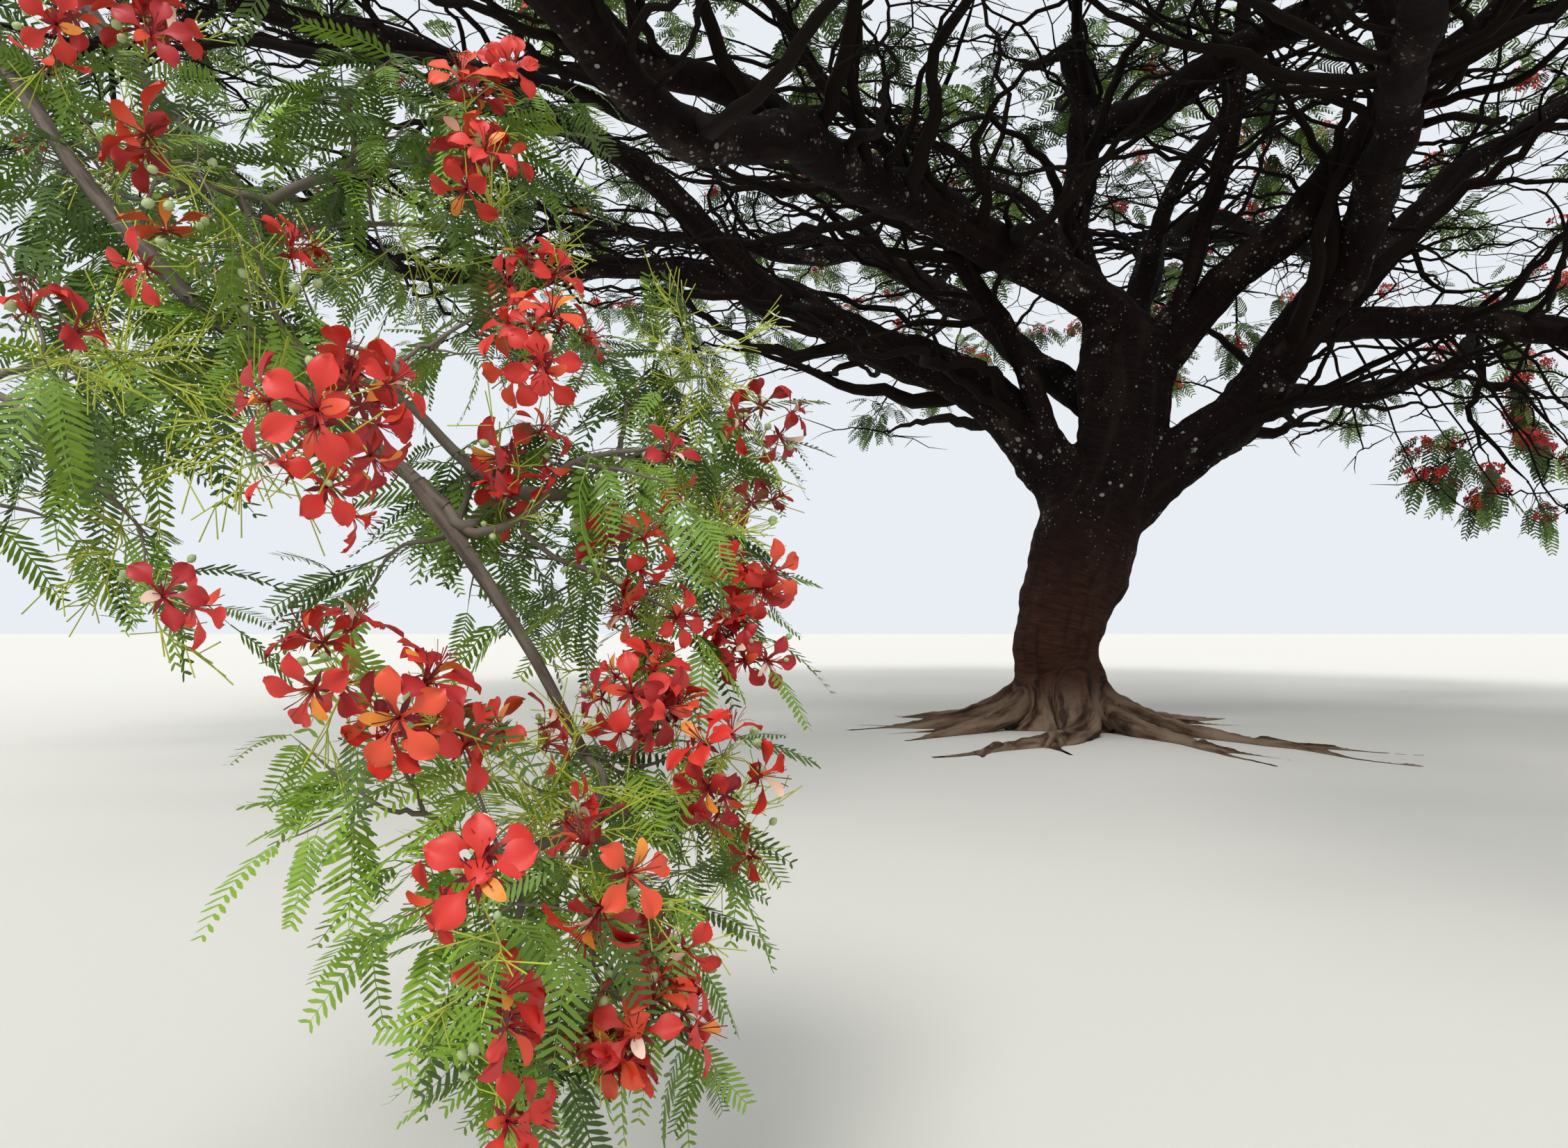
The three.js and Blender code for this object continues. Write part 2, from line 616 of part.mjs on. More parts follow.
const bearing = LIMBS.filter((limb) => limb.mass).map((limb) => wood.get(limb.name));
const seeds = bearing.map(cellSeed);
const shares = bearing.map(() => []);
for (const point of crownTargets()) {
  const distances = seeds.map((seed, k) => (isNear(bearing[k].mass) ? Infinity : seed.distanceTo(point)));
  shares[distances.indexOf(Math.min(...distances))].push({ point, style: CROWN_SPRAY });
}
bearing.forEach((limb, index) => {
  const hanging = HANGING[limb.mass];
  const extra = hanging ? hangingTargets(hanging, limb.axis.at(-1)) : [];
  const toAvoid = allLimbs.map((other) => (
    other.name === limb.name ? { axis: limb.axis.slice(0, -1), radii: limb.radii } : other));
  const { clear } = hanging?.style ?? CROWN_SPRAY;
  const fits = (point) => inCell(point, seeds[index], seeds) && clearOfLimbs(point, toAvoid, clear);
  const targets = [...shares[index], ...extra.map((point) => ({ point, style: hanging.style }))]
    .filter(({ point }) => fits(point));
  const solid = massSolid({ limb, index, targets, fits }, cutters);
  tree.add(meshOf(limb.mass, solid, FOLIAGE));
});

export default tree;
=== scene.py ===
"""Flame tree in bloom: bark, twigs, feathery leaves and blossom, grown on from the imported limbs.

Metres, +Z up, +X to the right of the photographed side, origin under the middle of the trunk.
"""
import math
from collections import namedtuple
from functools import lru_cache

import bpy
import numpy as np
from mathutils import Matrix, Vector, noise


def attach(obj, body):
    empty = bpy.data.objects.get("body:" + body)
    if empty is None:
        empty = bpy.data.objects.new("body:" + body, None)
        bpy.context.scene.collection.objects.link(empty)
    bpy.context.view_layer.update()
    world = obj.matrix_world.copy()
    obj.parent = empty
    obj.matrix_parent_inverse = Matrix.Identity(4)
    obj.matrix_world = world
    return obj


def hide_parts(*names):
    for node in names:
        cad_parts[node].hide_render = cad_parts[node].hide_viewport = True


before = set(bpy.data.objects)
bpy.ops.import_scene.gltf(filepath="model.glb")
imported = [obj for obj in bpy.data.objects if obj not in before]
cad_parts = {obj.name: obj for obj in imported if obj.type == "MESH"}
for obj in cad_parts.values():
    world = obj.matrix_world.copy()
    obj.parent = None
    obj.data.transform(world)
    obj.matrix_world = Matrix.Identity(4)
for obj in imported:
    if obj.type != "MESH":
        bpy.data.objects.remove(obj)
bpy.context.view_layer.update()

bl_info = {
    "name": "Flame tree",
    "version": (1, 0, 0),
    "blender": (4, 5, 0),
    "location": "View3D > Sidebar > Flame tree",
    "description": "Builds a flame tree in bloom around its trunk and boughs",
    "category": "Add Mesh",
}

# Photograph in pixels, sensor in millimetres, and the camera's place and pitch
PHOTO_WIDTH = 2256
PHOTO_HEIGHT = 1652
FOCAL_PIXELS = 1600
SENSOR = 36.0
CAMERA_PLACE = np.array([-3.37, -13.4, 1.3])
CAMERA_PITCH = math.radians(2.29)

# Crown near the lens, which is bare: how near, and the share of its side boughs' length
LARGE_WITHIN = 8.5
LARGE_SHARE = 0.55

# Trunk: height, sideways lean and radius of each station up to the fork, as in the solids
TRUNK_STATIONS = [
    (-0.12, 0.0, 0.70),
    (0.14, -0.01, 0.61),
    (0.45, -0.05, 0.535),
    (0.95, -0.08, 0.495),
    (1.50, 0.01, 0.535),
    (2.25, 0.28, 0.60),
    (3.10, 0.58, 0.52),
    (3.80, 0.77, 0.455),
    (4.40, 0.85, 0.44),
    (4.75, 0.88, 0.47),
]
TRUNK_STEPS = 6
TRUNK_SIDES = 48

# Flare of the trunk's foot, higher than in the solids: depth, hollows, height, degrees
BUTTRESS_DEPTH = 0.3
BUTTRESS_HOLLOW = 0.3
BUTTRESS_HEIGHT = 0.5
BUTTRESS_SPREAD = 24.0

# Surface roots: heading at start, middle and end, length, first and last radius
Root = namedtuple("Root", "heading length base tip")
ROOTS = [
    Root((176, 190, 200), 2.5, 0.235, 0.05),
    Root((206, 220, 208), 2.3, 0.190, 0.045),
    Root((272, 226, 214), 3.5, 0.285, 0.065),
    Root((296, 284, 262), 3.5, 0.160, 0.035),
    Root((322, 296, 288), 4.1, 0.165, 0.035),
    Root((18, 30, 22), 2.3, 0.190, 0.045),
    Root((78, 66, 84), 2.0, 0.190, 0.045),
    Root((132, 146, 138), 2.2, 0.190, 0.045),
]

# Forks of the roots: which root, share of its length, and the fork
ROOT_FORKS = [
    (0, 0.50, Root((172, 160, 176), 1.1, 0.085, 0.025)),
    (1, 0.42, Root((192, 184, 200), 1.3, 0.085, 0.025)),
    (2, 0.50, Root((250, 268, 240), 0.9, 0.110, 0.030)),
    (2, 0.74, Root((236, 252, 270), 0.7, 0.085, 0.025)),
    (3, 0.60, Root((292, 306, 290), 1.2, 0.075, 0.020)),
    (4, 0.55, Root((318, 330, 308), 1.5, 0.075, 0.020)),
    (5, 0.45, Root((352, 344, 358), 1.2, 0.085, 0.025)),
    (6, 0.50, Root((52, 40, 60), 1.0, 0.080, 0.025)),
    (7, 0.50, Root((160, 150, 164), 1.0, 0.080, 0.025)),
]

# Course of a root: height and distance of its start, fall, taper, rise and depth in radii
ROOT_LIFT = 0.52
ROOT_START = 0.25
ROOT_FALL = 0.56
ROOT_TAPER = 0.8
ROOT_RISE = 0.3
ROOT_SINK = 0.9

# Windings of a root: sample step, reach, length, steps to a sample, sides of the tube
ROOT_SAMPLE = 0.25
ROOT_STRAY = (0.22, 0.22, 0.055)
ROOT_BEND = 0.8
ROOT_STEPS = 3
ROOT_SIDES = 12

# Limbs, as in the solids: step, kink in degrees, lengths of their waves, first seed, thicker base
LIMB_STEP = 0.9
KINK = 7
KINK_LENGTH = 1.9
DIP_LENGTH = 2.375
LIMB_SEED = 11
COLLAR = 0.22
COLLAR_LENGTH = 0.42

# Limbs: each leaves the limb `on` at the fraction `at`; heading and rise at start, middle and end
Limb = namedtuple("Limb", "name on at length heading rise base tip mass")
LIMBS = [
    Limb("bough_left", "trunk", 0.53, 5.5, (175, 182, 196), (93, 29, 27), 0.385, 0.205, None),
    Limb("bough_left_outer", "bough_left", 0.98, 6.05, (152, 163, 155), (32, 0, 42),
         0.165, 0.085, "crown_left"),
    Limb("bough_left_upper", "bough_left", 0.97, 6.5, (-151, -150, -171), (43, 17, 4),
         0.170, 0.085, "crown_left_front"),
    Limb("bough_inner_left", "bough_left", 0.19, 6.2, (-127, -170, -144), (65, 54, 40),
         0.150, 0.070, "crown_inner_left"),
    Limb("bough_front_left", "trunk", 0.97, 6.1, (-165, -138, -111), (35, 5, -8), 0.300, 0.225, None),
    Limb("bough_front_left_outer", "bough_front_left", 0.99, 6.6, (-129, -113, -117), (-41, 13, 12),
         0.205, 0.105, "crown_front_left"),
    Limb("bough_front_left_upper", "bough_front_left", 0.95, 5.2, (-157, -135, -195), (18, 8, 65),
         0.160, 0.085, "crown_near_left"),
    Limb("bough_upright", "trunk", 0.97, 3.95, (180, 173, 191), (36, 92, 74), 0.240, 0.165, None),
    Limb("bough_front", "bough_upright", 0.72, 9.5, (-63, -62, -51), (-4, 0, -13),
         0.205, 0.085, "crown_front_right"),
    Limb("bough_centre", "trunk", 0.96, 4.85, (54, 19, 86), (74, 60, 29),
         0.130, 0.065, "crown_centre"),
    Limb("bough_inner_right", "trunk", 0.92, 5.05, (-29, -79, -104), (42, 68, 61),
         0.120, 0.065, "crown_inner_front"),
    Limb("bough_right_upper", "trunk", 0.83, 9.4, (-6, -66, 15), (44, 24, -13),
         0.255, 0.085, "crown_right_front"),
    Limb("bough_right", "trunk", 0.55, 4.2, (-19, -9, -71), (36, 44, 54), 0.390, 0.265, None),
    Limb("bough_near", "bough_right", 0.99, 9.1, (-92, -115, -69), (34, -6, 30),
         0.245, 0.090, "crown_front"),
    Limb("bough_near_inner", "bough_near", 0.38, 5.1, (-157, -147, -196), (74, 19, 16),
         0.115, 0.065, "crown_front_inner"),
    Limb("bough_right_outer", "bough_right", 0.93, 7.0, (16, 12, 26), (38, 34, -12),
         0.185, 0.085, "crown_right"),
    Limb("bough_right_level", "bough_right", 0.86, 5.95, (12, -24, 12), (20, -12, 53),
         0.200, 0.110, "crown_right_low"),
    Limb("bough_right_low", "bough_right", 0.45, 6.15, (47, 20, 54), (32, 10, 37),
         0.130, 0.070, "crown_right_hanging"),
    Limb("bough_back_right", "trunk", 0.95, 9.05, (59, 67, 60), (51, 21, 0),
         0.200, 0.080, "crown_back_right"),
    Limb("bough_back_right_side", "bough_back_right", 0.35, 6.15, (22, 40, 2), (35, 1, 10),
         0.130, 0.075, "crown_side_right"),
    Limb("bough_back", "trunk", 0.89, 9.75, (91, 98, 99), (48, 23, -5),
         0.200, 0.080, "crown_back"),
    Limb("bough_back_inner", "bough_back", 0.36, 3.55, (158, 131, 197), (59, 41, 24),
         0.100, 0.060, "crown_inner_back"),
    Limb("bough_back_left", "trunk", 0.74, 10.35, (143, 125, 110), (45, 28, -6),
         0.220, 0.080, "crown_back_left"),
    Limb("bough_back_left_side", "bough_back_left", 0.52, 6.2, (121, 169, 139), (7, 12, -27),
         0.125, 0.075, "crown_side_left"),
    Limb("hanging_bough", "bough_front_left_outer", 0.72, 4.9, (-149, -88, 2), (-23, -24, -57),
         0.080, 0.036, None),
    Limb("hanging_branch_upper", "hanging_bough", 0.99, 1.25, (-21, -8, 11), (-50, -56, -57),
         0.026, 0.016, "spray_upper"),
    Limb("hanging_branch_left", "hanging_bough", 0.97, 1.7, (-84, -60, -2), (-55, -69, -60),
         0.022, 0.014, "spray_left"),
    Limb("hanging_branch_middle", "hanging_bough", 0.99, 2.2, (-60, -24, 15), (-78, -50, -27),
         0.028, 0.017, "spray_middle"),
    Limb("hanging_branch_low", "hanging_branch_middle", 0.97, 0.55, (2, -4, 0), (-62, -65, -49),
         0.018, 0.012, "spray_low"),
]

# Crown: an umbrella whose edge drops at the front and rises at the back, as in the solids
CROWN_TOP = 10.65
CROWN_RADIUS = 11.7
CROWN_LOBE = 0.65
CROWN_LOBE_HEADING = 240
RIM_HEIGHT = 6.0
RIM_TILT = 1.2
RIM_TILT_HEADING = 110
CROWN_SWELL = 2.8
CROWN_SPRAYS = 236
CROWN_LAYERS = (0.0, 0.45, 1.5)
GOLDEN_ANGLE = math.pi * (3 - math.sqrt(5))
GOLDEN_RATIO = 0.618

# Space of a mass, as in the solids: seed ahead of the tip, gap to the next space
SEED_AHEAD = 0.7
CELL_MARGIN = 0.012

# Sprays of the solids: leaf length, its width's share, twig radius, droop, clearance
Style = namedtuple("Style", "leaf width twig droop clear")
CROWN_SPRAY = Style(2.0, 0.64, 0.020, 0.12, 0.025)
HANGING_SPRAY = Style(0.9, 0.5, 0.010, 0.7, 0.025)
NEAR_SPRAY = Style(0.34, 0.5, 0.004, 0.55, 0.013)

# Leaf of the solids: sizes tried, bounds of its length, widest place, slopes, places tested
LEAF_TRIES = (1, 0.82, 0.66, 0.5)
LEAF_OVERSHOOT = 1.5
LEAF_SHORTEST = 0.75
LEAF_LONGEST = 1.2
LEAF_WIDEST = 0.45
LEAF_STEEPEST = 0.45
LEAF_NOD = 0.4
LEAF_ROLL = 0.8
LEAF_PROBES = (0.3, 0.75, 1)

# Twigs of the solids: leaves on the last, reach, first leaf, forks, girths, stem of a mass, seed
TWIG_LEAVES = 4
TWIG_REACH = 0.72
LAST_ROOT = 0.9
FORK_REACH = 0.45
SHARP_TURN = 65
PIPE_POWER = 1 / 2.3
SIDE_TWIG = 0.8
STEM_LENGTH = 17
STEM_SWELL = 1.15
STEM_FIT = 0.9
MASS_SEED = 7919

# Hanging masses: style, sprays, middle and half sizes from the limb's tip, seed
INNER_DEPTH = 0.62
Hanging = namedtuple("Hanging", "style sprays offset half space")
HANGING = {
    "crown_right_low": Hanging(HANGING_SPRAY, 6, (0.9, -0.3, -0.9), (1.9, 1.3, 1.1), (0.6, -0.3, -0.3)),
    "crown_right_hanging": Hanging(HANGING_SPRAY, 10, (0.5, 0.3, -1.5), (1.7, 1.5, 1.2), (0.5, 0.4, -0.5)),
    "spray_upper": Hanging(NEAR_SPRAY, 9, (0.29, 0, 0), (0.48, 0.33, 0.33), (0.29, 0.1, 0.3)),
    "spray_left": Hanging(NEAR_SPRAY, 8, (0.1, 0, -0.35), (0.35, 0.26, 0.52), (-0.06, -0.05, -0.5)),
    "spray_middle": Hanging(NEAR_SPRAY, 10, (0.23, 0.05, 0.05), (0.4, 0.33, 0.42), (0.3, 0.1, 0.15)),
    "spray_low": Hanging(NEAR_SPRAY, 10, (-0.03, 0, -0.26), (0.42, 0.33, 0.43), (-0.04, -0.05, -0.33)),
}

# Bark tubes: grain's name, step, sides where fused, thick and thin
GRAIN = "grain"
BARK_STEP = 0.1
FUSED_SIDES = 20
THICK_BASE = 0.12
THICK_SIDES = 14
THIN_SIDES = 9

# Lumps and knots of bark: share of the radius, most of it, length
LUMP_SHARE = 0.24
LUMP_MOST = 0.06
LUMP_LENGTH = 0.42
KNOT_SHARE = 0.12
KNOT_MOST = 0.022
KNOT_LENGTH = 0.13

# Limbs in one skin of bark, and how much of the boughs on them it takes in
FUSED = ("trunk", "bough_left", "bough_front_left", "bough_upright", "bough_right")
STUB_LENGTH = 0.35
STUB_MOST = 0.5
STUB_TAPER = 0.86

# Ridges below boughs: start and foot in metres, shares of the radius, stations they run down
RIDGE_START = 0.6
RIDGE_TOP = 0.7
RIDGE_MIDDLE = 0.5
RIDGE_FOOT = 0.06
RIDGE_BULGE = 0.08
RIDGE_STEPS = 6
RIDGE_SIDES = 10
RIDGES = {"bough_left": 1.7, "bough_right": 1.7, "bough_front_left": 2.6, "bough_right_upper": 2.2,
          "bough_upright": 2.2}

# Young limbs, girths shown by the solids', windings by girth and their length, seed of windings
YOUNG = [limb.name for limb in LIMBS if limb.name.startswith("hanging")]
YOUNG_GIRTH = 0.66
SHOWN_GIRTH = {"bough_right_low": 1.4, **dict.fromkeys(YOUNG, YOUNG_GIRTH)}
WIND = 1.6
WIND_LENGTH = 0.35
STRAY_SEED = 1

# Masses of the near boughs, those in each part of the crown, and most triangles of a piece
NEAR_MASSES = ("spray_upper", "spray_left", "spray_middle", "spray_low")
CROWN_PARTS = {
    "left": ("crown_left", "crown_left_front", "crown_inner_left", "crown_side_left",
             "crown_near_left"),
    "front": ("crown_front_left", "crown_front_right", "crown_front", "crown_front_inner",
              "crown_inner_front"),
    "right": ("crown_right_front", "crown_right", "crown_right_low", "crown_right_hanging",
              "crown_side_right"),
    "back": ("crown_centre", "crown_back_right", "crown_back", "crown_inner_back",
             "crown_back_left"),
}
PIECE_TRIANGLES = 200000

# Side boughs: share of the limb where they start, gaps, power of their size's draw, lengths, tips
SIDE_START = 0.26
SIDE_GAPS = (0.6, 0.8)
SIDE_SIZES = 1.3
SIDE_LENGTHS = (0.45, 0.9)
SIDE_TIPS = (0.55, 0.9)

# Their way: spans to the side, ahead and up, and how level it goes ahead
SIDE_OUT = (0.4, 0.6)
SIDE_AHEAD = (0.5, 0.6)
SIDE_RISE = (-0.12, 0.4)
SIDE_LEVEL = 0.45

# Their course: steps, turn and climb of each, lowest height, drop, share of the crown's reach
SIDE_STEPS = 5
SIDE_TURN = (0.3, 0.3, 0.2)
SIDE_CLIMB = 0.03
SIDE_LOWEST = 3.6
SIDE_DROP = 0.2
CROWN_SHARE = 0.96

# Their girth: span by the limb's, collar and its length, girth by their twigs'
SIDE_GIRTHS = (0.13, 0.27)
SIDE_COLLAR = 1.4
SIDE_FOOT = 0.08
SIDE_STEM = 1.2
SIDE_THINNEST = 1.6

# Their twigs: spans of distance and spread, flatness, widest draw
SIDE_REACH = (0.4, 0.5)
SIDE_SPREAD = (0.5, 0.6)
SIDE_FLAT = (1, 1, 0.4)
WIDEST_DRAW = 1.5

# Their leaves: depth under the shell, share of the way to the rim, size, droop
SHELL_DEPTH = 1.3
RIM_FROM = 0.72
SIDE_LEAF = (0.45, 0.3)
SIDE_LEAF_DROOP = 0.1

# Tips of a spray: fewest, power of its length, how few where it hangs, foot, last twig's
FEWEST_TIPS = 3
TIPS_POWER = 1.3
HANGING_TIPS = 3
SPRAY_FOOT = 0.08
LAST_TIPS = 2

# Tips on a spray: span and power along it, its end, narrowest share, depth, leaves' sizes, droop
SPRAY_ALONG = (0.18, 0.84)
SPRAY_CROWDING = 0.8
SPRAY_END = 1.08
SPRAY_NARROWEST = 0.25
SPRAY_DEPTH = 0.07
SPRAY_LEAF = (0.75, 0.45)
TIP_LEAF = (0.7, 0.4)
SPRAY_LEAF_DROOP = 0.2

# Way of any leaf: random turn, share of its slope kept, steepest rise, random roll
LEAF_TURN = 0.28
LEAF_SLOPE = 0.6
LEAF_LIFT = 0.2
LEAF_TWIST = 0.35

# Twig tubes: radii from which they have six and four sides, sways, fineness of the tip
SIX_SIDED = 0.04
THICK_TWIG = 0.018
COARSE_SWAY = 0.10
FINE_SWAY = 0.15
TWIG_TIP = 0.4

# Limbs without foliage that bear side boughs, and the mass that these join
BARE_LIMBS = {"bough_left": "crown_inner_left", "bough_front_left": "crown_front_inner",
              "bough_upright": "crown_inner_front", "bough_right": "crown_right_front"}

# Thin boughs at the lower right: the limb and the stretch of it that they leave
SKIRT_LIMB = "bough_right_level"
SKIRT_PART = (0.02, 0.34)

# Their tips by where the photograph shows them: column, row, metres from the lens
SKIRT_SEEN = [
    (1960, 640, 13.6), (2040, 690, 13.5), (2080, 630, 13.4), (2150, 700, 13.1), (2170, 610, 13.2),
    (2215, 655, 13.0), (2240, 725, 12.7), (2290, 680, 12.6), (2360, 730, 12.3), (2420, 660, 12.2),
]

# Their arch by length, shares of the way and of the arch, girth, taper, and twigs at their tips
SKIRT_ARCH = 0.12
SKIRT_BENDS = ((0.3, 1), (0.65, 0.8))
SKIRT_GIRTH = 0.032
SKIRT_TAPER = (1, 0.75, 0.5, 0.35)
SKIRT_TIPS = 8
SKIRT_SPREAD = (0.4, 0.4, 0.25)
SKIRT_LEAN = (0.2, 0, -0.1)

# Leaves: pairs of pinnae, outline of one, bends of the stalk, reach and sag of each shape
LeafForm = namedtuple("LeafForm", "pairs pinna bends shapes")
CROWN_LEAF = LeafForm(9, [(0, 0.6), (1, 1)], 1, [(0.27, 0.16), (0.27, 0.28), (0.27, 0.4), (0.27, 0.22)])
NEAR_LEAF = LeafForm(13, [(0, 0.55), (0.6, 1), (1, 0.3)], 2,
                     [(0.22, 0.2), (0.25, 0.35), (0.20, 0.5), (0.21, 0.7)])

# Pinnae: first place, stretch, width and tilt by spacing, sine of their lengths, ways ahead and down
PINNAE_FROM = 0.14
PINNAE_OVER = 0.84
PINNA_WIDTH = 0.40
PINNA_TILT = 0.3
PINNAE_ARC = (0.2, 0.68)
PINNAE_FULL = 0.7
PINNA_AHEAD = (0.45, 0.2)
PINNA_DROOP = (0.15, 0.3)

# Leaf stalk: half thickness, taper and end
STALK_HALF = (0, 0.007, 0.006)
STALK_TAPER = 0.5
STALK_END = 0.97

# Petals: length, half width, claw's share, lift, ruffle, rows and columns of points
PetalForm = namedtuple("PetalForm", "length half_width claw lift ruffle rows columns")
PETALS = 5
STANDARD = PetalForm(0.050, 0.009, 0.30, 0.010, 0.0025, 7, 3)
RED_PETAL = PetalForm(0.064, 0.0172, 0.46, 0.012, 0.004, 9, 5)

# Petal's outline: crowding of rows, blade's end, claw's width, rounding, dish, waves
ROW_POWER = 1.4
BLADE_END = 0.95
CLAW_WIDTH = 0.14
BLADE_ROUND = 0.05
BLADE_DISH = 0.35
BLADE_WAVES = 2.6
BLADE_TWIST = 3

# How far petals sway and stand up: the standard, the others, the crown's
PETAL_SWAY = 0.1
STANDARD_TILT = 0.75
PETAL_TILTS = (0.12, 0.25)
FAR_TILTS = (0.15, 0.4)
FAR_SWAY = 0.3

# Sepal: distance out, half width and height of each row, and its tilt
SEPAL = [(0, 0.0028, 0), (0.014, 0.0042, 0.001), (0.028, 0.0004, -0.004)]
SEPAL_TILT = -0.15

# Stamens: number, reach's share, half width and height of each row, reach, tilts
STAMENS = 9
STAMEN = [(0, 0.0008, 0), (0.6, 0.0007, 0.004), (1, 0.0010, 0.001)]
STAMEN_REACH = (0.040, 0.012)
STAMEN_TILTS = (1.0, 0.25)

# Petal of a crown flower
FAR_PETAL = [[0.004, 0, 0], [0.042, 0.021, 0.006], [0.066, 0, -0.002], [0.042, -0.021, 0.006]]

# Bud of unit length: place and radius of each ring, and sides
BUD_RINGS = [(0, 0.12), (0.2, 0.34), (0.5, 0.42), (0.8, 0.3), (1.0, 0.04)]
BUD_SIDES = 6

# Parts of a flower with a colour of their own
PETAL_TINT, STANDARD_TINT, CALYX_TINT = range(3)

# Shares of the greens and of the petals' colours, and how many leaves are alike
GREEN_SHARES = (0.45, 0.25, 0.3)
NEAR_GREEN_SHARES = (0.5, 0.15, 0.35)
LEAVES_ALIKE = 6
PETAL_SHARES = (0.6, 0.3, 0.1)
STANDARD_SHARES = (0.45, 0.28, 0.27)

# Crown's blossom: place on a leaf, distance from the trunk, weights at the right and low
BLOSSOM_ALONG = 0.2
BLOSSOM_FROM = 4
RIGHT_BLOOM = 2.2
LOW_BLOOM = 4
LOW_BLOOM_UNDER = 5.2

# Its clusters: flowers from and under, half sizes, depths, lean, shapes, sizes
CLUSTER_FLOWERS = (10, 18)
CLUSTER_HALF = (0.19, 0.19, 0.12)
CLUSTER_DEPTH = (0.5, 0.5)
CLUSTER_LEAN = (0, 0, 0.35)
FAR_SHAPES = 4
FAR_FLOWER = (0.9, 0.35)

# Near twigs: finest radius, most things on one, sides by radius, steps, sway, tip
NEAR_TWIG = 0.0015
NEAR_TWIG_ITEMS = 9
NEAR_ROUND = 0.006
NEAR_SIDES = (8, 5)
NEAR_STEPS = 5
NEAR_SWAY = 0.07
NEAR_TIP = 0.5

# Leaves by each near cluster: number, spread, how far behind it, cluster's own place
NEAR_LEAVES = 3
NEAR_STRAY = 0.06
NEAR_BEHIND = 0.12
BLOOM_AHEAD = 0.09

# Leaves on the solids' near sprays: stem, reach, turns, and the foot of all twigs
NEAR_STEM = 0.42
NEAR_OUT = 0.6
NEAR_TURNS = (-0.35, -0.1, 0.2, 0.4)
NEAR_FOOT = 0.05

# Near leaves: length, droop, shape of a spray, below and left of where they are young
NEAR_LENGTH = (0.10, 0.09)
NEAR_DROOP = 0.3
NEAR_SPREAD = (0.85, 1, 0.7)
YOUNG_UNDER = 1.15
YOUNG_LEFT_OF = -3.75

# Stalks of a near cluster: foot, radii of a flower's and a bud's, bend, taper
STALK_FOOT = 0.06
FLOWER_STALK = 0.0013
BUD_STALK = 0.0011
STALK_BEND = 0.1
STALK_THINS = (1, 1, 0.8)

# Near cluster: size and what each flower adds, depths, flowers' sizes and shapes, buds
CLUSTER_REACH = (0.030, 0.0045)
CLUSTER_DEPTHS = (0.75, 0.4)
NEAR_FLOWER = (0.85, 0.3)
NEAR_SHAPES = 5
BUDS = 4
BUD_REACH = 0.06
BUD_LENGTH = (0.012, 0.008)

# Leans of near flowers, buds, and racemes with and without flowers
BLOOM_LEAN = (0, -0.45, 0.2)
BUD_LEAN = (0, -0.2, 0.6)
BLOOM_STALK_LEAN = (0, -0.1, -0.2)
STALK_LEAN = (0, -0.1, 0)

# Racemes: radii, bend, lengths, number, and their stalklets
RACEME_RADII = [0.0018, 0.0016, 0.0011]
RACEME_MIDDLE = 0.55
RACEME_BEND = 0.12
BLOOM_RACEME = 0.1
BARE_RACEME = (0.07, 0.12)
RACEMES_EACH = 3
STALKLETS = 9
STALKLETS_FROM = 0.35
STALKLET_TURN = 0.6
STALKLET_LENGTH = (0.035, 0.045)
STALKLET_RADII = [0.0010, 0.0013]

# Near blossom in the photograph: column, row, metres from the lens, open flowers
BLOSSOM_SEEN = [
    (85, 30, 1.9, 3), (215, 75, 1.8, 4), (255, 225, 1.5, 2), (245, 375, 1.7, 2),
    (390, 390, 1.6, 2), (55, 505, 1.4, 2), (690, 250, 2.0, 6), (730, 115, 2.2, 3),
    (670, 150, 2.1, 2), (480, 600, 1.45, 9), (450, 715, 1.6, 4), (765, 420, 2.1, 4),
    (785, 520, 1.9, 8), (755, 650, 1.95, 4), (735, 745, 2.0, 3), (225, 875, 1.55, 2),
    (945, 675, 2.2, 2), (905, 795, 2.0, 3), (1105, 610, 2.4, 4), (1095, 740, 2.4, 3),
    (1090, 820, 2.2, 4), (1085, 940, 2.2, 7), (945, 890, 2.1, 5), (480, 960, 1.6, 5),
    (590, 1020, 1.5, 5), (640, 1085, 1.6, 3), (745, 1070, 1.9, 4), (915, 1000, 2.0, 7),
    (980, 1060, 2.0, 4), (1045, 1110, 1.9, 7), (1100, 1235, 2.1, 1), (790, 1165, 1.8, 2),
    (690, 1270, 1.35, 3), (875, 1265, 1.55, 4), (975, 1345, 1.9, 3), (690, 1460, 1.4, 3),
    (930, 1495, 1.7, 7), (850, 1565, 1.65, 5), (715, 1605, 1.5, 2),
]

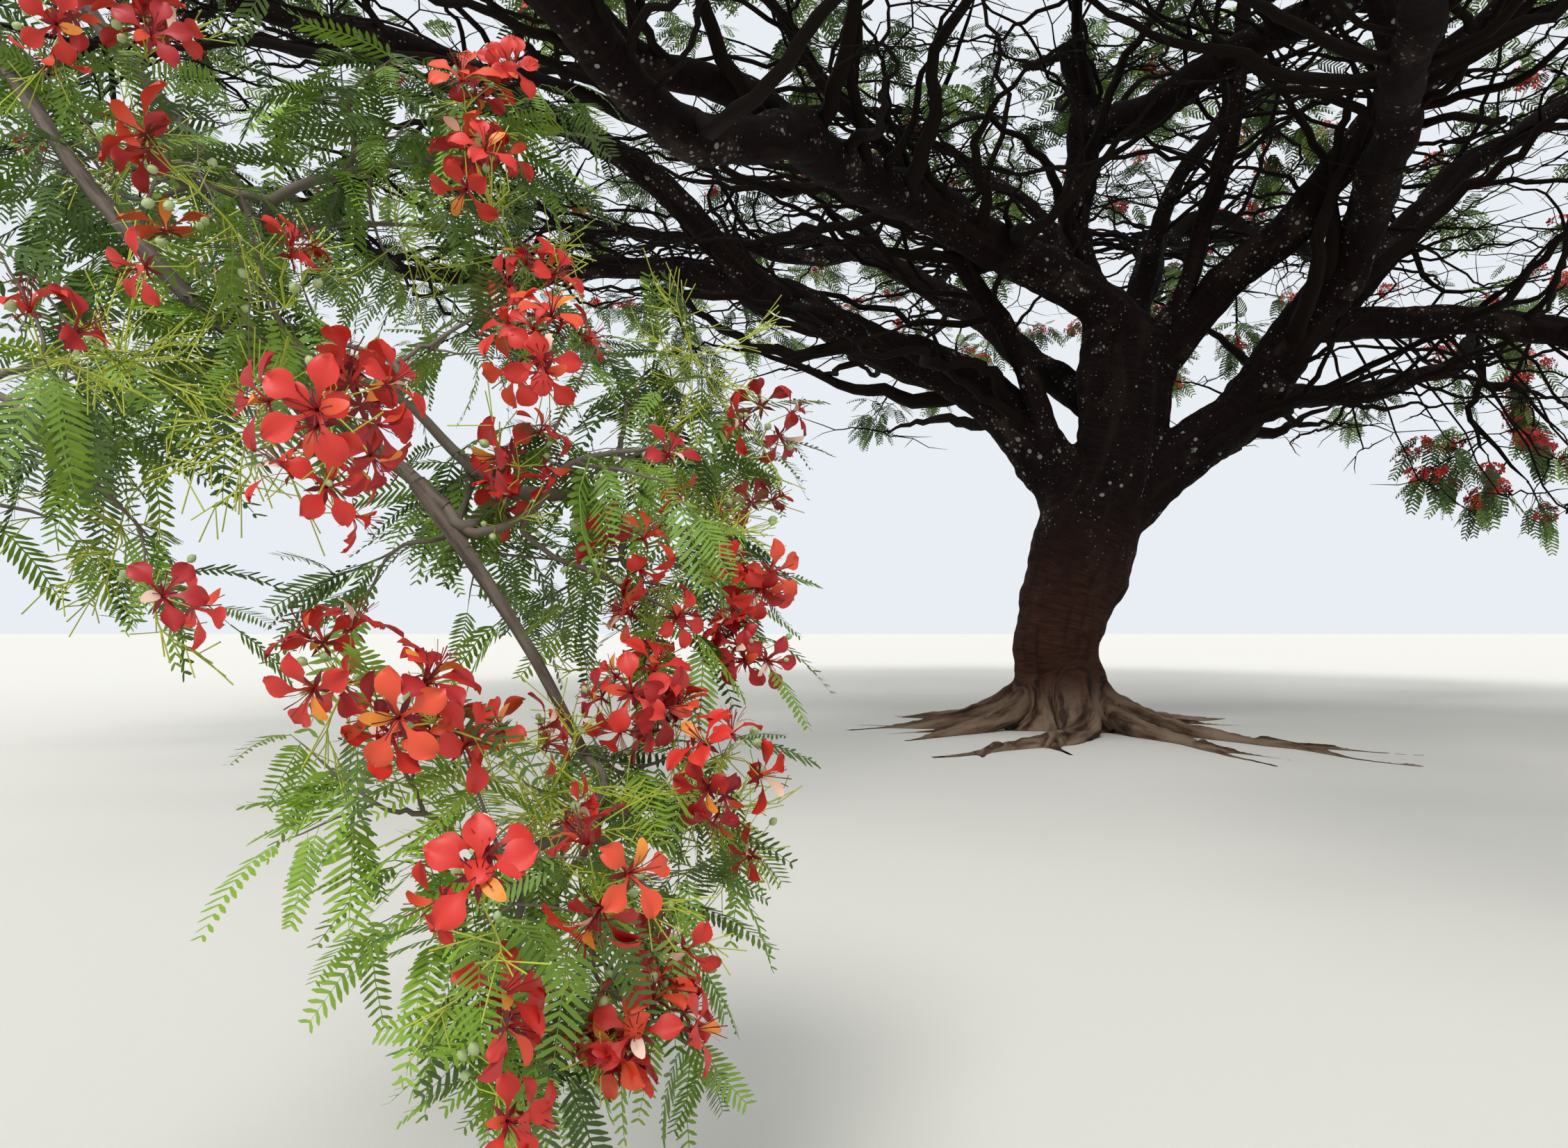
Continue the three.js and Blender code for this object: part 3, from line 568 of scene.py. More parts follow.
# Leaf sprays between it: column, row, metres from the lens, spread, half the leaves
LEAVES_SEEN = [
    (95, 120, 2.1, 0.1, 18), (520, 120, 2.2, 0.1, 24), (60, 280, 2.0, 0.12, 24),
    (330, 200, 2.3, 0.14, 16), (150, 420, 2.1, 0.12, 18), (420, 330, 2.2, 0.1, 10),
    (600, 430, 2.3, 0.1, 8), (385, 460, 1.9, 0.1, 18), (75, 610, 1.7, 0.1, 14),
    (270, 490, 1.8, 0.12, 24), (200, 620, 1.9, 0.1, 14), (690, 210, 2.2, 0.12, 28),
    (805, 175, 2.3, 0.07, 8), (920, 505, 2.3, 0.1, 22), (650, 700, 2.2, 0.12, 24),
    (840, 720, 2.2, 0.12, 26), (1020, 660, 2.45, 0.13, 36), (1020, 830, 2.35, 0.09, 16),
    (760, 830, 2.2, 0.12, 14), (500, 840, 1.9, 0.07, 8), (365, 980, 1.8, 0.05, 3),
    (450, 1165, 1.6, 0.05, 4), (580, 1170, 1.6, 0.1, 16), (670, 1345, 1.65, 0.07, 8),
    (755, 1370, 1.65, 0.08, 12), (650, 1520, 1.65, 0.05, 4), (750, 1540, 1.7, 0.07, 8),
    (800, 1450, 1.75, 0.08, 10), (960, 1215, 2.0, 0.12, 24), (920, 1010, 2.1, 0.1, 16),
]

# Bare flower stalks: column, row, metres from the lens, brooms
STALKS_SEEN = [
    (230, 560, 1.7, 6), (360, 680, 1.6, 5), (130, 730, 1.8, 4), (350, 460, 1.9, 3),
    (980, 500, 2.3, 6), (1010, 600, 2.3, 5), (960, 800, 2.2, 4), (1000, 760, 2.3, 4),
    (930, 980, 2.1, 5), (760, 1130, 1.8, 5), (840, 1190, 1.8, 6), (980, 1180, 2.0, 7),
    (1040, 1270, 2.1, 4), (800, 1250, 1.8, 4), (870, 1420, 1.8, 3), (520, 1100, 1.7, 2),
    (150, 230, 2.0, 3), (600, 330, 2.2, 3), (760, 330, 2.2, 3),
]

# Where near leaves turn left, as their right is bare: columns from, to, rows from
LEAVES_TURNED = [(-1000, 0, 900), (985, 1400, 1450)]


def seen_at(column, row, reach):
    """Point that the photograph shows at a column and row, `reach` metres from the lens."""
    right = (column - PHOTO_WIDTH / 2) / FOCAL_PIXELS * reach
    up = (PHOTO_HEIGHT / 2 - row) / FOCAL_PIXELS * reach
    ahead = reach * math.cos(CAMERA_PITCH) - up * math.sin(CAMERA_PITCH)
    rise = reach * math.sin(CAMERA_PITCH) + up * math.cos(CAMERA_PITCH)
    return CAMERA_PLACE + np.array([right, ahead, rise])


def seen_place(point):
    """Column and row at which the photograph shows a point, and how far ahead of the lens it is."""
    right, away, rise = point - CAMERA_PLACE
    ahead = away * math.cos(CAMERA_PITCH) + rise * math.sin(CAMERA_PITCH)
    up = rise * math.cos(CAMERA_PITCH) - away * math.sin(CAMERA_PITCH)
    column = PHOTO_WIDTH / 2 + FOCAL_PIXELS * right / ahead
    row = PHOTO_HEIGHT / 2 - FOCAL_PIXELS * up / ahead
    return column, row, ahead


def seen_large(point):
    """Whether a point is near the lens and not beside or above the photograph's frame."""
    column, row, ahead = seen_place(point)
    shown = ahead > 0 and 0 < column < PHOTO_WIDTH and row > 0
    return shown and np.linalg.norm(point - CAMERA_PLACE) < LARGE_WITHIN


# Rule that the solids grow by

def seeded(seed):
    """Draws from 0 to 1, the same as in the solids."""
    state = seed
    while True:
        state = (state * 16807) % 2147483647
        yield state / 2147483647


def between(values, t):
    """Value at t of the parabola through three values."""
    first, middle, last = values
    return first * (1 - t) * (1 - 2 * t) + middle * 4 * t * (1 - t) + last * t * (2 * t - 1)


def direction(heading, rise):
    """Unit vector at a heading and a rise in degrees."""
    level = math.cos(math.radians(rise))
    return np.array([level * math.cos(math.radians(heading)),
                     level * math.sin(math.radians(heading)), math.sin(math.radians(rise))])


def unit(vector):
    return vector / max(np.linalg.norm(vector), 1e-9)


def along_axis(axis, fraction):
    """Point at a fraction of an axis, counted by its stretches."""
    place = fraction * (len(axis) - 1)
    i = min(int(place), len(axis) - 2)
    return axis[i] + (axis[i + 1] - axis[i]) * (place - i)


def limb_axis(limb, start, seed):
    """Points of a limb that turns from its first way to its last and winds as it goes."""
    draw = seeded(seed)
    turn_phase = 2 * math.pi * next(draw)
    dip_phase = 2 * math.pi * next(draw)
    steps = math.ceil(limb.length / LIMB_STEP - 1e-9)
    points = [start]
    for i in range(steps):
        t = (i + 0.5) / steps
        gone = 2 * math.pi * t * limb.length
        step = direction(
            between(limb.heading, t) + KINK * math.sin(gone / KINK_LENGTH + turn_phase),
            between(limb.rise, t) + KINK * math.sin(gone / DIP_LENGTH + dip_phase))
        points.append(points[-1] + step * limb.length / steps)
    return np.array(points)


def limb_radius(limb, t):
    collar = 1 + COLLAR * math.exp(-t * limb.length / COLLAR_LENGTH)
    return (limb.base + (limb.tip - limb.base) * t) * collar


Grown = namedtuple("Grown", "name axis radii limb")


def grow_limbs():
    """Trunk and limbs by name, each with its axis and radii."""
    trunk = np.array([(lean, 0, height) for height, lean, _ in TRUNK_STATIONS])
    wood = {"trunk": Grown("trunk", trunk, np.array([r for _, _, r in TRUNK_STATIONS]), None)}
    for index, limb in enumerate(LIMBS):
        axis = limb_axis(limb, along_axis(wood[limb.on].axis, limb.at), index + LIMB_SEED)
        radii = np.array([limb_radius(limb, i / (len(axis) - 1)) for i in range(len(axis))])
        wood[limb.name] = Grown(limb.name, axis, radii, limb)
    return wood


def end_way(axis):
    return unit(axis[-1] - axis[-2])


def cell_seed(grown):
    """Point whose surroundings belong to the limb's mass."""
    mass = grown.limb.mass
    if mass in HANGING:
        return grown.axis[-1] + np.array(HANGING[mass].space)
    return grown.axis[-1] + end_way(grown.axis) * SEED_AHEAD


class Space:
    """What a mass may fill: points nearest to its own seed and clear of every limb."""

    def __init__(self, own, seeds, wood, grown, clearance):
        self.own = own
        self.others = np.array([seed for seed in seeds if seed is not own])
        self.apart = 2 * np.linalg.norm(self.others - own, axis=1)
        starts, ends, reach = [], [], []
        for other in wood.values():
            axis = other.axis[:-1] if other.name == grown.name else other.axis
            starts.extend(axis[:-1])
            ends.extend(axis[1:])
            reach.extend(np.maximum(other.radii[:len(axis) - 1], other.radii[1:len(axis)]) + clearance)
        self.starts = np.array(starts)
        self.spans = np.array(ends) - self.starts
        self.lengths = (self.spans ** 2).sum(1)
        self.reach = np.array(reach)

    def holds(self, points):
        """True where every point lies in the space."""
        points = np.atleast_2d(points)
        own = ((points - self.own) ** 2).sum(1)[:, None]
        other = ((points[:, None] - self.others) ** 2).sum(2)
        if ((other - own) / self.apart <= CELL_MARGIN).any():
            return False
        away = points[:, None] - self.starts
        t = np.clip((away * self.spans).sum(2) / self.lengths, 0, 1)
        gap = np.linalg.norm(away - t[..., None] * self.spans, axis=2)
        return bool((gap > self.reach).all())


def crown_edge(angle):
    return CROWN_RADIUS + CROWN_LOBE * math.cos(angle - math.radians(CROWN_LOBE_HEADING))


def crown_height(angle, spread):
    """Height of the crown's outer shell at a share of the way out to its edge."""
    rim = RIM_HEIGHT + RIM_TILT * math.cos(angle - math.radians(RIM_TILT_HEADING))
    return rim + (CROWN_TOP - rim) * (1 - spread ** CROWN_SWELL)


def crown_targets():
    """Points of the crown in the order of a sunflower's seeds, in layers under its shell."""
    targets = []
    for i in range(CROWN_SPRAYS):
        spread = math.sqrt((i + 0.5) / CROWN_SPRAYS)
        angle = i * GOLDEN_ANGLE
        reach = crown_edge(angle) * spread
        targets.append(np.array([reach * math.cos(angle), reach * math.sin(angle),
                                 crown_height(angle, spread) - CROWN_LAYERS[i % len(CROWN_LAYERS)]]))
    return targets


def inside_crown(point, lowest):
    """The point, brought in under the crown's shell and above the lowest height."""
    angle = math.atan2(point[1], point[0])
    reach = math.hypot(point[0], point[1])
    spread = min(reach / crown_edge(angle), CROWN_SHARE)
    level = point[:2] * spread * crown_edge(angle) / max(reach, 1e-6)
    return np.array([*level, min(max(point[2], lowest), crown_height(angle, spread))])


def hanging_targets(hanging, tip):
    """Points of a hanging mass, spread over a ball round its middle."""
    targets = []
    for i in range(hanging.sprays):
        height = 1 - (2 * i + 1) / hanging.sprays
        ring = math.sqrt(1 - height * height)
        depth = INNER_DEPTH + (1 - INNER_DEPTH) * ((i * GOLDEN_RATIO) % 1)
        ball = np.array([ring * math.cos(i * GOLDEN_ANGLE), ring * math.sin(i * GOLDEN_ANGLE), height])
        targets.append(tip + np.array(hanging.offset) + ball * np.array(hanging.half) * depth)
    return targets


Target = namedtuple("Target", "point style")
Spray = namedtuple("Spray", "root along side normal length half_width style")


def place_leaf(root, target, scale, draw):
    """The spray that one leaf of the solids stands for."""
    style = target.style
    to_target = target.point - root
    along = unit(to_target)
    slope = min(max(along[2], -LEAF_STEEPEST), LEAF_STEEPEST)
    along[2] = slope + (next(draw) - 0.5) * LEAF_NOD - style.droop
    along = unit(along)
    side = unit(np.array([-along[1], along[0], (next(draw) - 0.5) * LEAF_ROLL]))
    normal = unit(np.cross(along, side))
    reach = LEAF_OVERSHOOT * np.linalg.norm(to_target)
    length = min(max(reach, LEAF_SHORTEST * style.leaf), LEAF_LONGEST * style.leaf) * scale
    return Spray(root, along, side, normal, length, style.leaf * style.width * scale / 2, style)


def probes(spray):
    """Points that tell whether a spray fits into its space."""
    tip = spray.root + spray.along * spray.length
    widest = spray.root + spray.along * spray.length * LEAF_WIDEST
    reach = spray.side * spray.half_width
    middles = [spray.root + (widest - spray.root) * t for t in LEAF_PROBES]
    return np.array([widest - reach, tip, widest + reach, *middles])


def farthest_from(point, points):
    return points[int(np.argmax(((points - point) ** 2).sum(1)))]


def halve(targets):
    """Two halves of the targets, parted across their longest way."""
    points = np.array([target.point for target in targets])
    one = farthest_from(points[0], points)
    other = farthest_from(one, points)
    order = np.argsort(points @ (other - one), kind="stable")
    half = math.ceil(len(targets) / 2)
    return [targets[i] for i in order[:half]], [targets[i] for i in order[half:]]


class Strand:
    """One twig: its points and radii, and the leaves along its last stretch."""

    def __init__(self, points, radii):
        self.points = points
        self.radii = radii
        self.leaves = []


def grow_twigs(strand, targets, tip_radius, strands, last=TWIG_LEAVES):
    """Forks towards the middles of the halved targets until `last` or fewer are left."""
    start = strand.points[-1]
    if len(targets) <= last:
        ordered = sorted(targets, key=lambda target: np.linalg.norm(target.point - start))
        end = start + (ordered[-1].point - start) * TWIG_REACH
        strand.leaves = [(target, start + (end - start) * (i + LAST_ROOT) / len(ordered))
                         for i, target in enumerate(ordered)]
        strand.points.append(end)
        strand.radii.append(tip_radius)
        strands.append(strand)
        return
    middle = np.mean([target.point for target in targets], axis=0)
    fork = start + (middle - start) * FORK_REACH
    radius = tip_radius * len(targets) ** PIPE_POWER
    strand.points.append(fork)
    strand.radii.append(radius)
    way = unit(fork - start)

    def turn_to(half):
        ahead = unit(np.mean([target.point for target in half], axis=0) - fork)
        return math.degrees(math.acos(min(max(float(ahead @ way), -1), 1)))

    one, other = sorted(halve(targets), key=turn_to)
    if turn_to(one) < SHARP_TURN:
        grow_twigs(strand, one, tip_radius, strands, last)
    else:
        strands.append(strand)
        grow_twigs(Strand([fork], [radius * SIDE_TWIG]), one, tip_radius, strands, last)
    grow_twigs(Strand([fork], [radius * SIDE_TWIG]), other, tip_radius, strands, last)


def strand_samples(strand):
    """Four points on each stretch of a strand, but for the first ones."""
    points = []
    for before, after in zip(strand.points, strand.points[1:]):
        points.extend(before + (after - before) * k / 4 for k in range(1, 5))
    return points[3:]


def grow_mass(grown, targets, space, seed):
    """Twigs of one mass and the sprays that they carry."""
    draw = seeded(seed)
    tip_radius = targets[0].style.twig
    stem_radius = min(grown.limb.tip * STEM_FIT, STEM_SWELL * tip_radius * len(targets) ** PIPE_POWER)
    tip = grown.axis[-1]
    stem_end = tip + end_way(grown.axis) * STEM_LENGTH * tip_radius
    strands = []
    grow_twigs(Strand([tip, stem_end], [stem_radius, stem_radius]), targets, tip_radius, strands)
    kept, sprays = [], []
    for strand in strands:
        if not space.holds(strand_samples(strand)):
            continue
        kept.append(strand)
        for target, root in strand.leaves:
            tries = [place_leaf(root, target, scale, draw) for scale in LEAF_TRIES]
            spray = next((one for one in tries if space.holds(probes(one))), None)
            if spray:
                sprays.append(spray)
    return kept, sprays


def grow_crown(wood):
    """Strands and sprays of every mass by its name."""
    bearing = [wood[limb.name] for limb in LIMBS if limb.mass]
    seeds = [cell_seed(grown) for grown in bearing]
    shares = [[] for _ in bearing]
    for point in crown_targets():
        gaps = [math.inf if grown.limb.mass in NEAR_MASSES else np.linalg.norm(seed - point)
                for grown, seed in zip(bearing, seeds)]
        shares[int(np.argmin(gaps))].append(Target(point, CROWN_SPRAY))
    masses = {}
    for index, grown in enumerate(bearing):
        hanging = HANGING.get(grown.limb.mass)
        style = hanging.style if hanging else CROWN_SPRAY
        extra = hanging_targets(hanging, grown.axis[-1]) if hanging else []
        space = Space(seeds[index], seeds, wood, grown, style.clear)
        targets = [target for target in shares[index] + [Target(point, style) for point in extra]
                   if space.holds(target.point)]
        masses[grown.limb.mass] = grow_mass(grown, targets, space, MASS_SEED * (index + 3))
    return masses


@lru_cache(maxsize=None)
def whole_tree():
    """Limbs and masses of the solids."""
    wood = grow_limbs()
    return wood, grow_crown(wood)


# Curves and tubes

def smooth_line(points, radii, per):
    """Smooth curve through points and radii, with `per` steps to a stretch."""
    data = np.column_stack([points, radii])
    held = np.vstack([2 * data[0] - data[1], data, 2 * data[-1] - data[-2]])
    t = (np.arange(per) / per)[:, None]
    parts = []
    for a, b, c, d in zip(held, held[1:], held[2:], held[3:]):
        parts.append(b + 0.5 * t * (c - a + t * (2 * a - 5 * b + 4 * c - d
                                                 + t * (3 * b - a - 3 * c + d))))
    parts.append(data[-1:])
    line = np.vstack(parts)
    return line[:, :3], np.maximum(line[:, 3], radii.min() / 2)


def wandering_line(points, radii, per, sway, rng):
    """Smooth curve that strays a little between the forks, which keep their places."""
    line, thick = smooth_line(np.array(points), np.array(radii), per)
    stretch = np.linalg.norm(np.diff(line, axis=0), axis=1).mean()
    stray = rng.normal(size=line.shape) * sway * stretch
    stray[::per] = 0
    return line + stray, thick


def ring_frames(line):
    """Two unit vectors across the line at each of its points, turned as little as may be."""
    ways = np.diff(line, axis=0)
    ways /= np.linalg.norm(ways, axis=1)[:, None] + 1e-12
    tangents = np.vstack([ways[:1], ways[:-1] + ways[1:], ways[-1:]])
    tangents /= np.linalg.norm(tangents, axis=1)[:, None] + 1e-12
    upright = abs(tangents[0, 2]) > math.hypot(tangents[0, 0], tangents[0, 1])
    across = np.array([1.0, 0, 0]) if upright else np.array([0, 0, 1.0])
    acrosses = np.empty_like(line)
    for i, tangent in enumerate(tangents):
        across = across - tangent * (across @ tangent)
        across /= math.sqrt(across @ across) + 1e-12
        acrosses[i] = across
    return acrosses, np.cross(tangents, acrosses)


def ring_points(line, radii, sides):
    """Rings of points round a line (n, sides, 3) and the unit vectors that point out of it."""
    across, around = ring_frames(line)
    angle = 2 * math.pi * np.arange(sides) / sides
    outward = (np.cos(angle)[None, :, None] * across[:, None]
               + np.sin(angle)[None, :, None] * around[:, None])
    return line[:, None] + outward * radii[:, None, None], outward


def ring_faces(rings, sides):
    """Quads between rings of points."""
    ring = np.arange(rings - 1)[:, None] * sides
    k = np.arange(sides)[None]
    after = (k + 1) % sides
    corners = [ring + k, ring + after, ring + sides + after, ring + sides + k]
    return np.stack(corners, axis=-1).reshape(-1, 4)


def curve_length(line):
    """How far along the line each of its points is."""
    return np.concatenate([[0], np.cumsum(np.linalg.norm(np.diff(line, axis=0), axis=1))])


def at_place(values, place):
    """Value at a place between the whole numbers that count the values."""
    return float(np.interp(place, np.arange(len(values)), values))


def ranged(span, share):
    """Value at a share of a span, which is its least value and how much more it may be."""
    least, more = span
    return least + more * share


class Heap:
    """Points and faces of many parts that are joined into one mesh."""

    def __init__(self):
        self.points = []
        self.loops = []
        self.sizes = []
        self.tints = []
        self.count = 0

    def add(self, points, faces, tint=0):
        points = np.asarray(points, dtype=float).reshape(-1, 3)
        faces = np.asarray(faces)
        self.points.append(points)
        self.loops.append((faces + self.count).ravel())
        self.sizes.append(np.full(len(faces), faces.shape[1]))
        self.tints.append(np.broadcast_to(tint, len(faces)))
        self.count += len(points)

    def add_tube(self, line, radii, sides, tint=0):
        points, _ = ring_points(line, radii, sides)
        self.add(points, ring_faces(len(line), sides), tint)

    def add_copies(self, shape, places, frames, sizes, tints=None):
        """Copies of a shape: rows of each frame are its three axes; tints index the shape's own."""
        count = len(places)
        world = np.einsum("pi,nij->npj", shape.points, frames) * sizes[:, None, None]
        world += places[:, None]
        first = (np.arange(count) * len(shape.points))[:, None, None]
        faces = (shape.faces[None] + first).reshape(-1, shape.faces.shape[1])
        own = np.tile(shape.tints, count) if tints is None else tints[:, shape.tints].ravel()
        self.add(world, faces, own)

    def triangles(self):
        return int((np.concatenate(self.sizes) - 2).sum())

    def piece(self, name, slot, materials, replaced=()):
        """The heap as one object."""
        if self.triangles() >= PIECE_TRIANGLES:
            raise ValueError(f"{name} has {self.triangles()} triangles")
        sizes = np.concatenate(self.sizes)
        loops = np.concatenate(self.loops)
        mesh = bpy.data.meshes.new(name)
        mesh.vertices.add(self.count)
        mesh.vertices.foreach_set("co", np.concatenate(self.points).astype(np.float32).ravel())
        mesh.loops.add(len(loops))
        mesh.loops.foreach_set("vertex_index", loops.astype(np.int32))
        mesh.polygons.add(len(sizes))
        mesh.polygons.foreach_set("loop_start", (np.cumsum(sizes) - sizes).astype(np.int32))
        mesh.polygons.foreach_set("material_index", np.concatenate(self.tints).astype(np.int32))
        mesh.update(calc_edges=True)
        mesh.shade_smooth()
        return as_piece(mesh, name, materials, replaced)


def as_piece(mesh, name, materials, replaced=()):
    """Object of the mesh that rides on the tree's one body, in place of CAD nodes."""
    for material in materials:
        mesh.materials.append(material)
    piece = bpy.data.objects.new(name, mesh)
    bpy.context.scene.collection.objects.link(piece)
    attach(piece, "root")
    if replaced:
        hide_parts(*replaced)
    return piece


# Materials

def linear(code):
    """Linear colour with alpha from an sRGB hex code."""
    shares = [int(code[i:i + 2], 16) / 255 for i in (1, 3, 5)]
    return [c / 12.92 if c <= 0.04045 else ((c + 0.055) / 1.055) ** 2.4 for c in shares] + [1]


def add_node(tree, kind, settings=None, values=None, links=None):
    """Adds a shader node with its settings, socket values and links from other nodes' sockets."""
    node = tree.nodes.new(kind)
    for key, value in (settings or {}).items():
        setattr(node, key, value)
    for socket, value in (values or {}).items():
        node.inputs[socket].default_value = value
    for socket, source in (links or {}).items():
        tree.links.new(source, node.inputs[socket])
    return node


def new_material(name, roughness):
    """Material with its node tree and its shader."""
    material = bpy.data.materials.new(name)
    material.use_nodes = True
    shader = material.node_tree.nodes["Principled BSDF"]
    shader.inputs["Roughness"].default_value = roughness
    return material, material.node_tree, shader


def plain(name, colour, roughness):
    """Material of one plain colour, given as a code or as linear values."""
    material, _, shader = new_material(name, roughness)
    values = linear(colour) if isinstance(colour, str) else colour
    shader.inputs["Base Color"].default_value = values
    material.diffuse_color = values
    return material


def mixed(tree, share, first, second):
    """Colour output that goes with the share from the first colour, a code or a link, to the second."""
    node = add_node(tree, "ShaderNodeMix", {"data_type": "RGBA"})
    for socket, source in zip((0, 6, 7), (share, first, second)):
        if isinstance(source, str):
            node.inputs[socket].default_value = linear(source)
        else:
            tree.links.new(source, node.inputs[socket])
    return node.outputs[2]


def spread_out(tree, source, low, high):
    """Share from 0 at the low value to 1 at the high one."""
    node = add_node(tree, "ShaderNodeMapRange", {"interpolation_type": "SMOOTHSTEP"},
                    {"From Min": low, "From Max": high}, {"Value": source})
    return node.outputs["Result"]


def grain_noise(tree, grain, along, across, detail):
    """Noise with so many spots to a metre along the limb and round it."""
    scaled = add_node(tree, "ShaderNodeVectorMath", {"operation": "MULTIPLY"},
                      {1: (along, across, across)}, {0: grain})
    noise_node = add_node(tree, "ShaderNodeTexNoise", {"noise_dimensions": "3D"},
                          {"Scale": 1.0, "Detail": detail, "Roughness": 0.6},
                          {"Vector": scaled.outputs["Vector"]})
    return noise_node.outputs["Fac"]


def lichen(tree, place, density, scale, most):
    """Share that is 1 inside round spots, one in each of `scale` cells to a metre."""
    cells = add_node(tree, "ShaderNodeTexVoronoi", values={"Scale": scale}, links={"Vector": place})
    draw = add_node(tree, "ShaderNodeSeparateColor", links={0: cells.outputs["Color"]})
    size = add_node(tree, "ShaderNodeMath", {"operation": "MULTIPLY"}, {1: most},
                    {0: draw.outputs[0]})
    rim = add_node(tree, "ShaderNodeMath", {"operation": "MULTIPLY"},
                   links={0: size.outputs["Value"], 1: density})
    inside = add_node(tree, "ShaderNodeMath", {"operation": "LESS_THAN"},
                      links={0: cells.outputs["Distance"], 1: rim.outputs["Value"]})
    return inside.outputs["Value"]


def old_bark():
    """Rough bark of an old flame tree: dusty brown at its foot, red-brown with faint cross wrinkles
    low on the trunk, near black up on the boughs (dark bark and painted shade), with round grey lichen
    spots."""
    material, tree, shader = new_material("old flame tree bark with painted shade high up", 0.92)
    shader.inputs["Specular IOR Level"].default_value = 0.1
    grain = add_node(tree, "ShaderNodeAttribute", {"attribute_name": GRAIN}).outputs["Vector"]
    place = add_node(tree, "ShaderNodeTexCoord").outputs["Object"]
    height = add_node(tree, "ShaderNodeSeparateXYZ", links={0: place}).outputs["Z"]
    # Cross wrinkles are 33 mm apart and 250 mm wide, and finer detail breaks them up
    wrinkle = grain_noise(tree, grain, 30, 4, 8)
    # Flutes run 1100 mm along the wood and are 140 mm wide
    flute = grain_noise(tree, grain, 0.9, 7, 5)
    # Patches of worn bark and of lichen are 600 mm long and 330 mm wide
    patch = grain_noise(tree, grain, 1.6, 3, 4)
    # Pits are 5 mm wide on the real bark and drawn 17 to 21 mm wide, so that they show
    pit = grain_noise(tree, grain, 60, 48, 3)
    low = mixed(tree, spread_out(tree, wrinkle, 0.25, 0.78), "#28160f", "#462c22")
    foot = mixed(tree, spread_out(tree, flute, 0.35, 0.65), "#57402f", "#85725f")
    low = mixed(tree, spread_out(tree, height, 0.0, 0.7), foot, low)
    # Up on the boughs the bark goes near black: partly its own dark colour, partly painted shade
    high = mixed(tree, spread_out(tree, wrinkle, 0.25, 0.8), "#0c0606", "#1b110f")
    wood = mixed(tree, spread_out(tree, height, 0.8, 2.9), low, high)
    fluted = mixed(tree, spread_out(tree, flute, 0.30, 0.52), "#1f1512", wood)
    worn = mixed(tree, spread_out(tree, patch, 0.55, 0.8), fluted, "#352922")
    patchy = spread_out(tree, patch, 0.35, 0.7)
    higher = spread_out(tree, height, 0.8, 2.8)
    density = add_node(tree, "ShaderNodeMath", {"operation": "MULTIPLY"},
                       links={0: patchy, 1: higher}).outputs["Value"]
    # Lichen spots are up to 38 mm and up to 76 mm wide
    small = mixed(tree, lichen(tree, place, density, 22, 0.42), worn, "#5f6264")
    large = mixed(tree, lichen(tree, place, density, 9, 0.34), small, "#777b7c")
    tree.links.new(large, shader.inputs["Base Color"])
    coarse = add_node(tree, "ShaderNodeBump", values={"Strength": 0.55, "Distance": 0.014},
                      links={"Height": wrinkle})
    fine = add_node(tree, "ShaderNodeBump", values={"Strength": 0.6, "Distance": 0.006},
                    links={"Height": pit, "Normal": coarse.outputs["Normal"]})
    tree.links.new(fine.outputs["Normal"], shader.inputs["Normal"])
    return material


def young_bark():
    """Smooth grey-brown bark of a hanging branch, with faint rings and dark pores."""
    material, tree, shader = new_material("young flame tree bark", 0.8)
    grain = add_node(tree, "ShaderNodeAttribute", {"attribute_name": GRAIN}).outputs["Vector"]
    # Rings and pores are 11 mm long and 50 mm wide
    ring = grain_noise(tree, grain, 90, 20, 4)
    # Streaks are 110 mm long and 17 mm wide
    streak = grain_noise(tree, grain, 9, 60, 3)
    skin = mixed(tree, spread_out(tree, streak, 0.35, 0.65), "#3f342c", "#6b5e53")
    pored = mixed(tree, spread_out(tree, ring, 0.6, 0.75), skin, "#3a2f29")
    tree.links.new(pored, shader.inputs["Base Color"])
    bump = add_node(tree, "ShaderNodeBump", values={"Strength": 0.5, "Distance": 0.003},
                    links={"Height": ring})
    tree.links.new(bump.outputs["Normal"], shader.inputs["Normal"])
    return material


# Bark

def strays(line, length):
    """How each point of a line strays, in windings about `length` metres long."""
    noise.seed_set(STRAY_SEED)
    return np.array([noise.noise_vector(Vector(point) / length) for point in line])


def fine_limb(grown):
    """Smooth line of the trunk or of a limb, and its radii as they are shown."""
    if grown.limb is None:
        return smooth_line(grown.axis, grown.radii, TRUNK_STEPS)
    per = max(2, round(LIMB_STEP / BARK_STEP))
    line, _ = smooth_line(grown.axis, grown.radii, per)
    shares = np.linspace(0, 1, len(line))
    if grown.name in YOUNG:
        wide = WIND * grown.limb.base * np.sin(math.pi * shares)
        line = line + strays(line, WIND_LENGTH) * wide[:, None]
    radii = np.array([limb_radius(grown.limb, t) for t in shares])
    return line, radii * SHOWN_GIRTH.get(grown.name, 1)


def bark_shift(points, girths):
    """How far bark swells out of the limb's round: lumps, knots and hollows."""
    shifts = np.empty(len(points))
    for i, (point, girth) in enumerate(zip(points, girths)):
        place = Vector(point)
        shifts[i] = (min(girth * LUMP_SHARE, LUMP_MOST) * noise.noise(place / LUMP_LENGTH)
                     + min(girth * KNOT_SHARE, KNOT_MOST) * noise.noise(place / KNOT_LENGTH))
    return shifts


def buttress(angles, heights):
    """Radius factor of the trunk's flare: ridges that run out into the roots."""
    headings = np.degrees(angles)
    apart = np.stack([np.abs((headings - root.heading[0] + 180) % 360 - 180) for root in ROOTS])
    lobe = np.exp(-(apart.min(axis=0) / BUTTRESS_SPREAD) ** 2)
    fade = np.exp(-np.maximum(heights, 0) / BUTTRESS_HEIGHT)
    return 1 + BUTTRESS_DEPTH * (lobe - BUTTRESS_HOLLOW) * fade


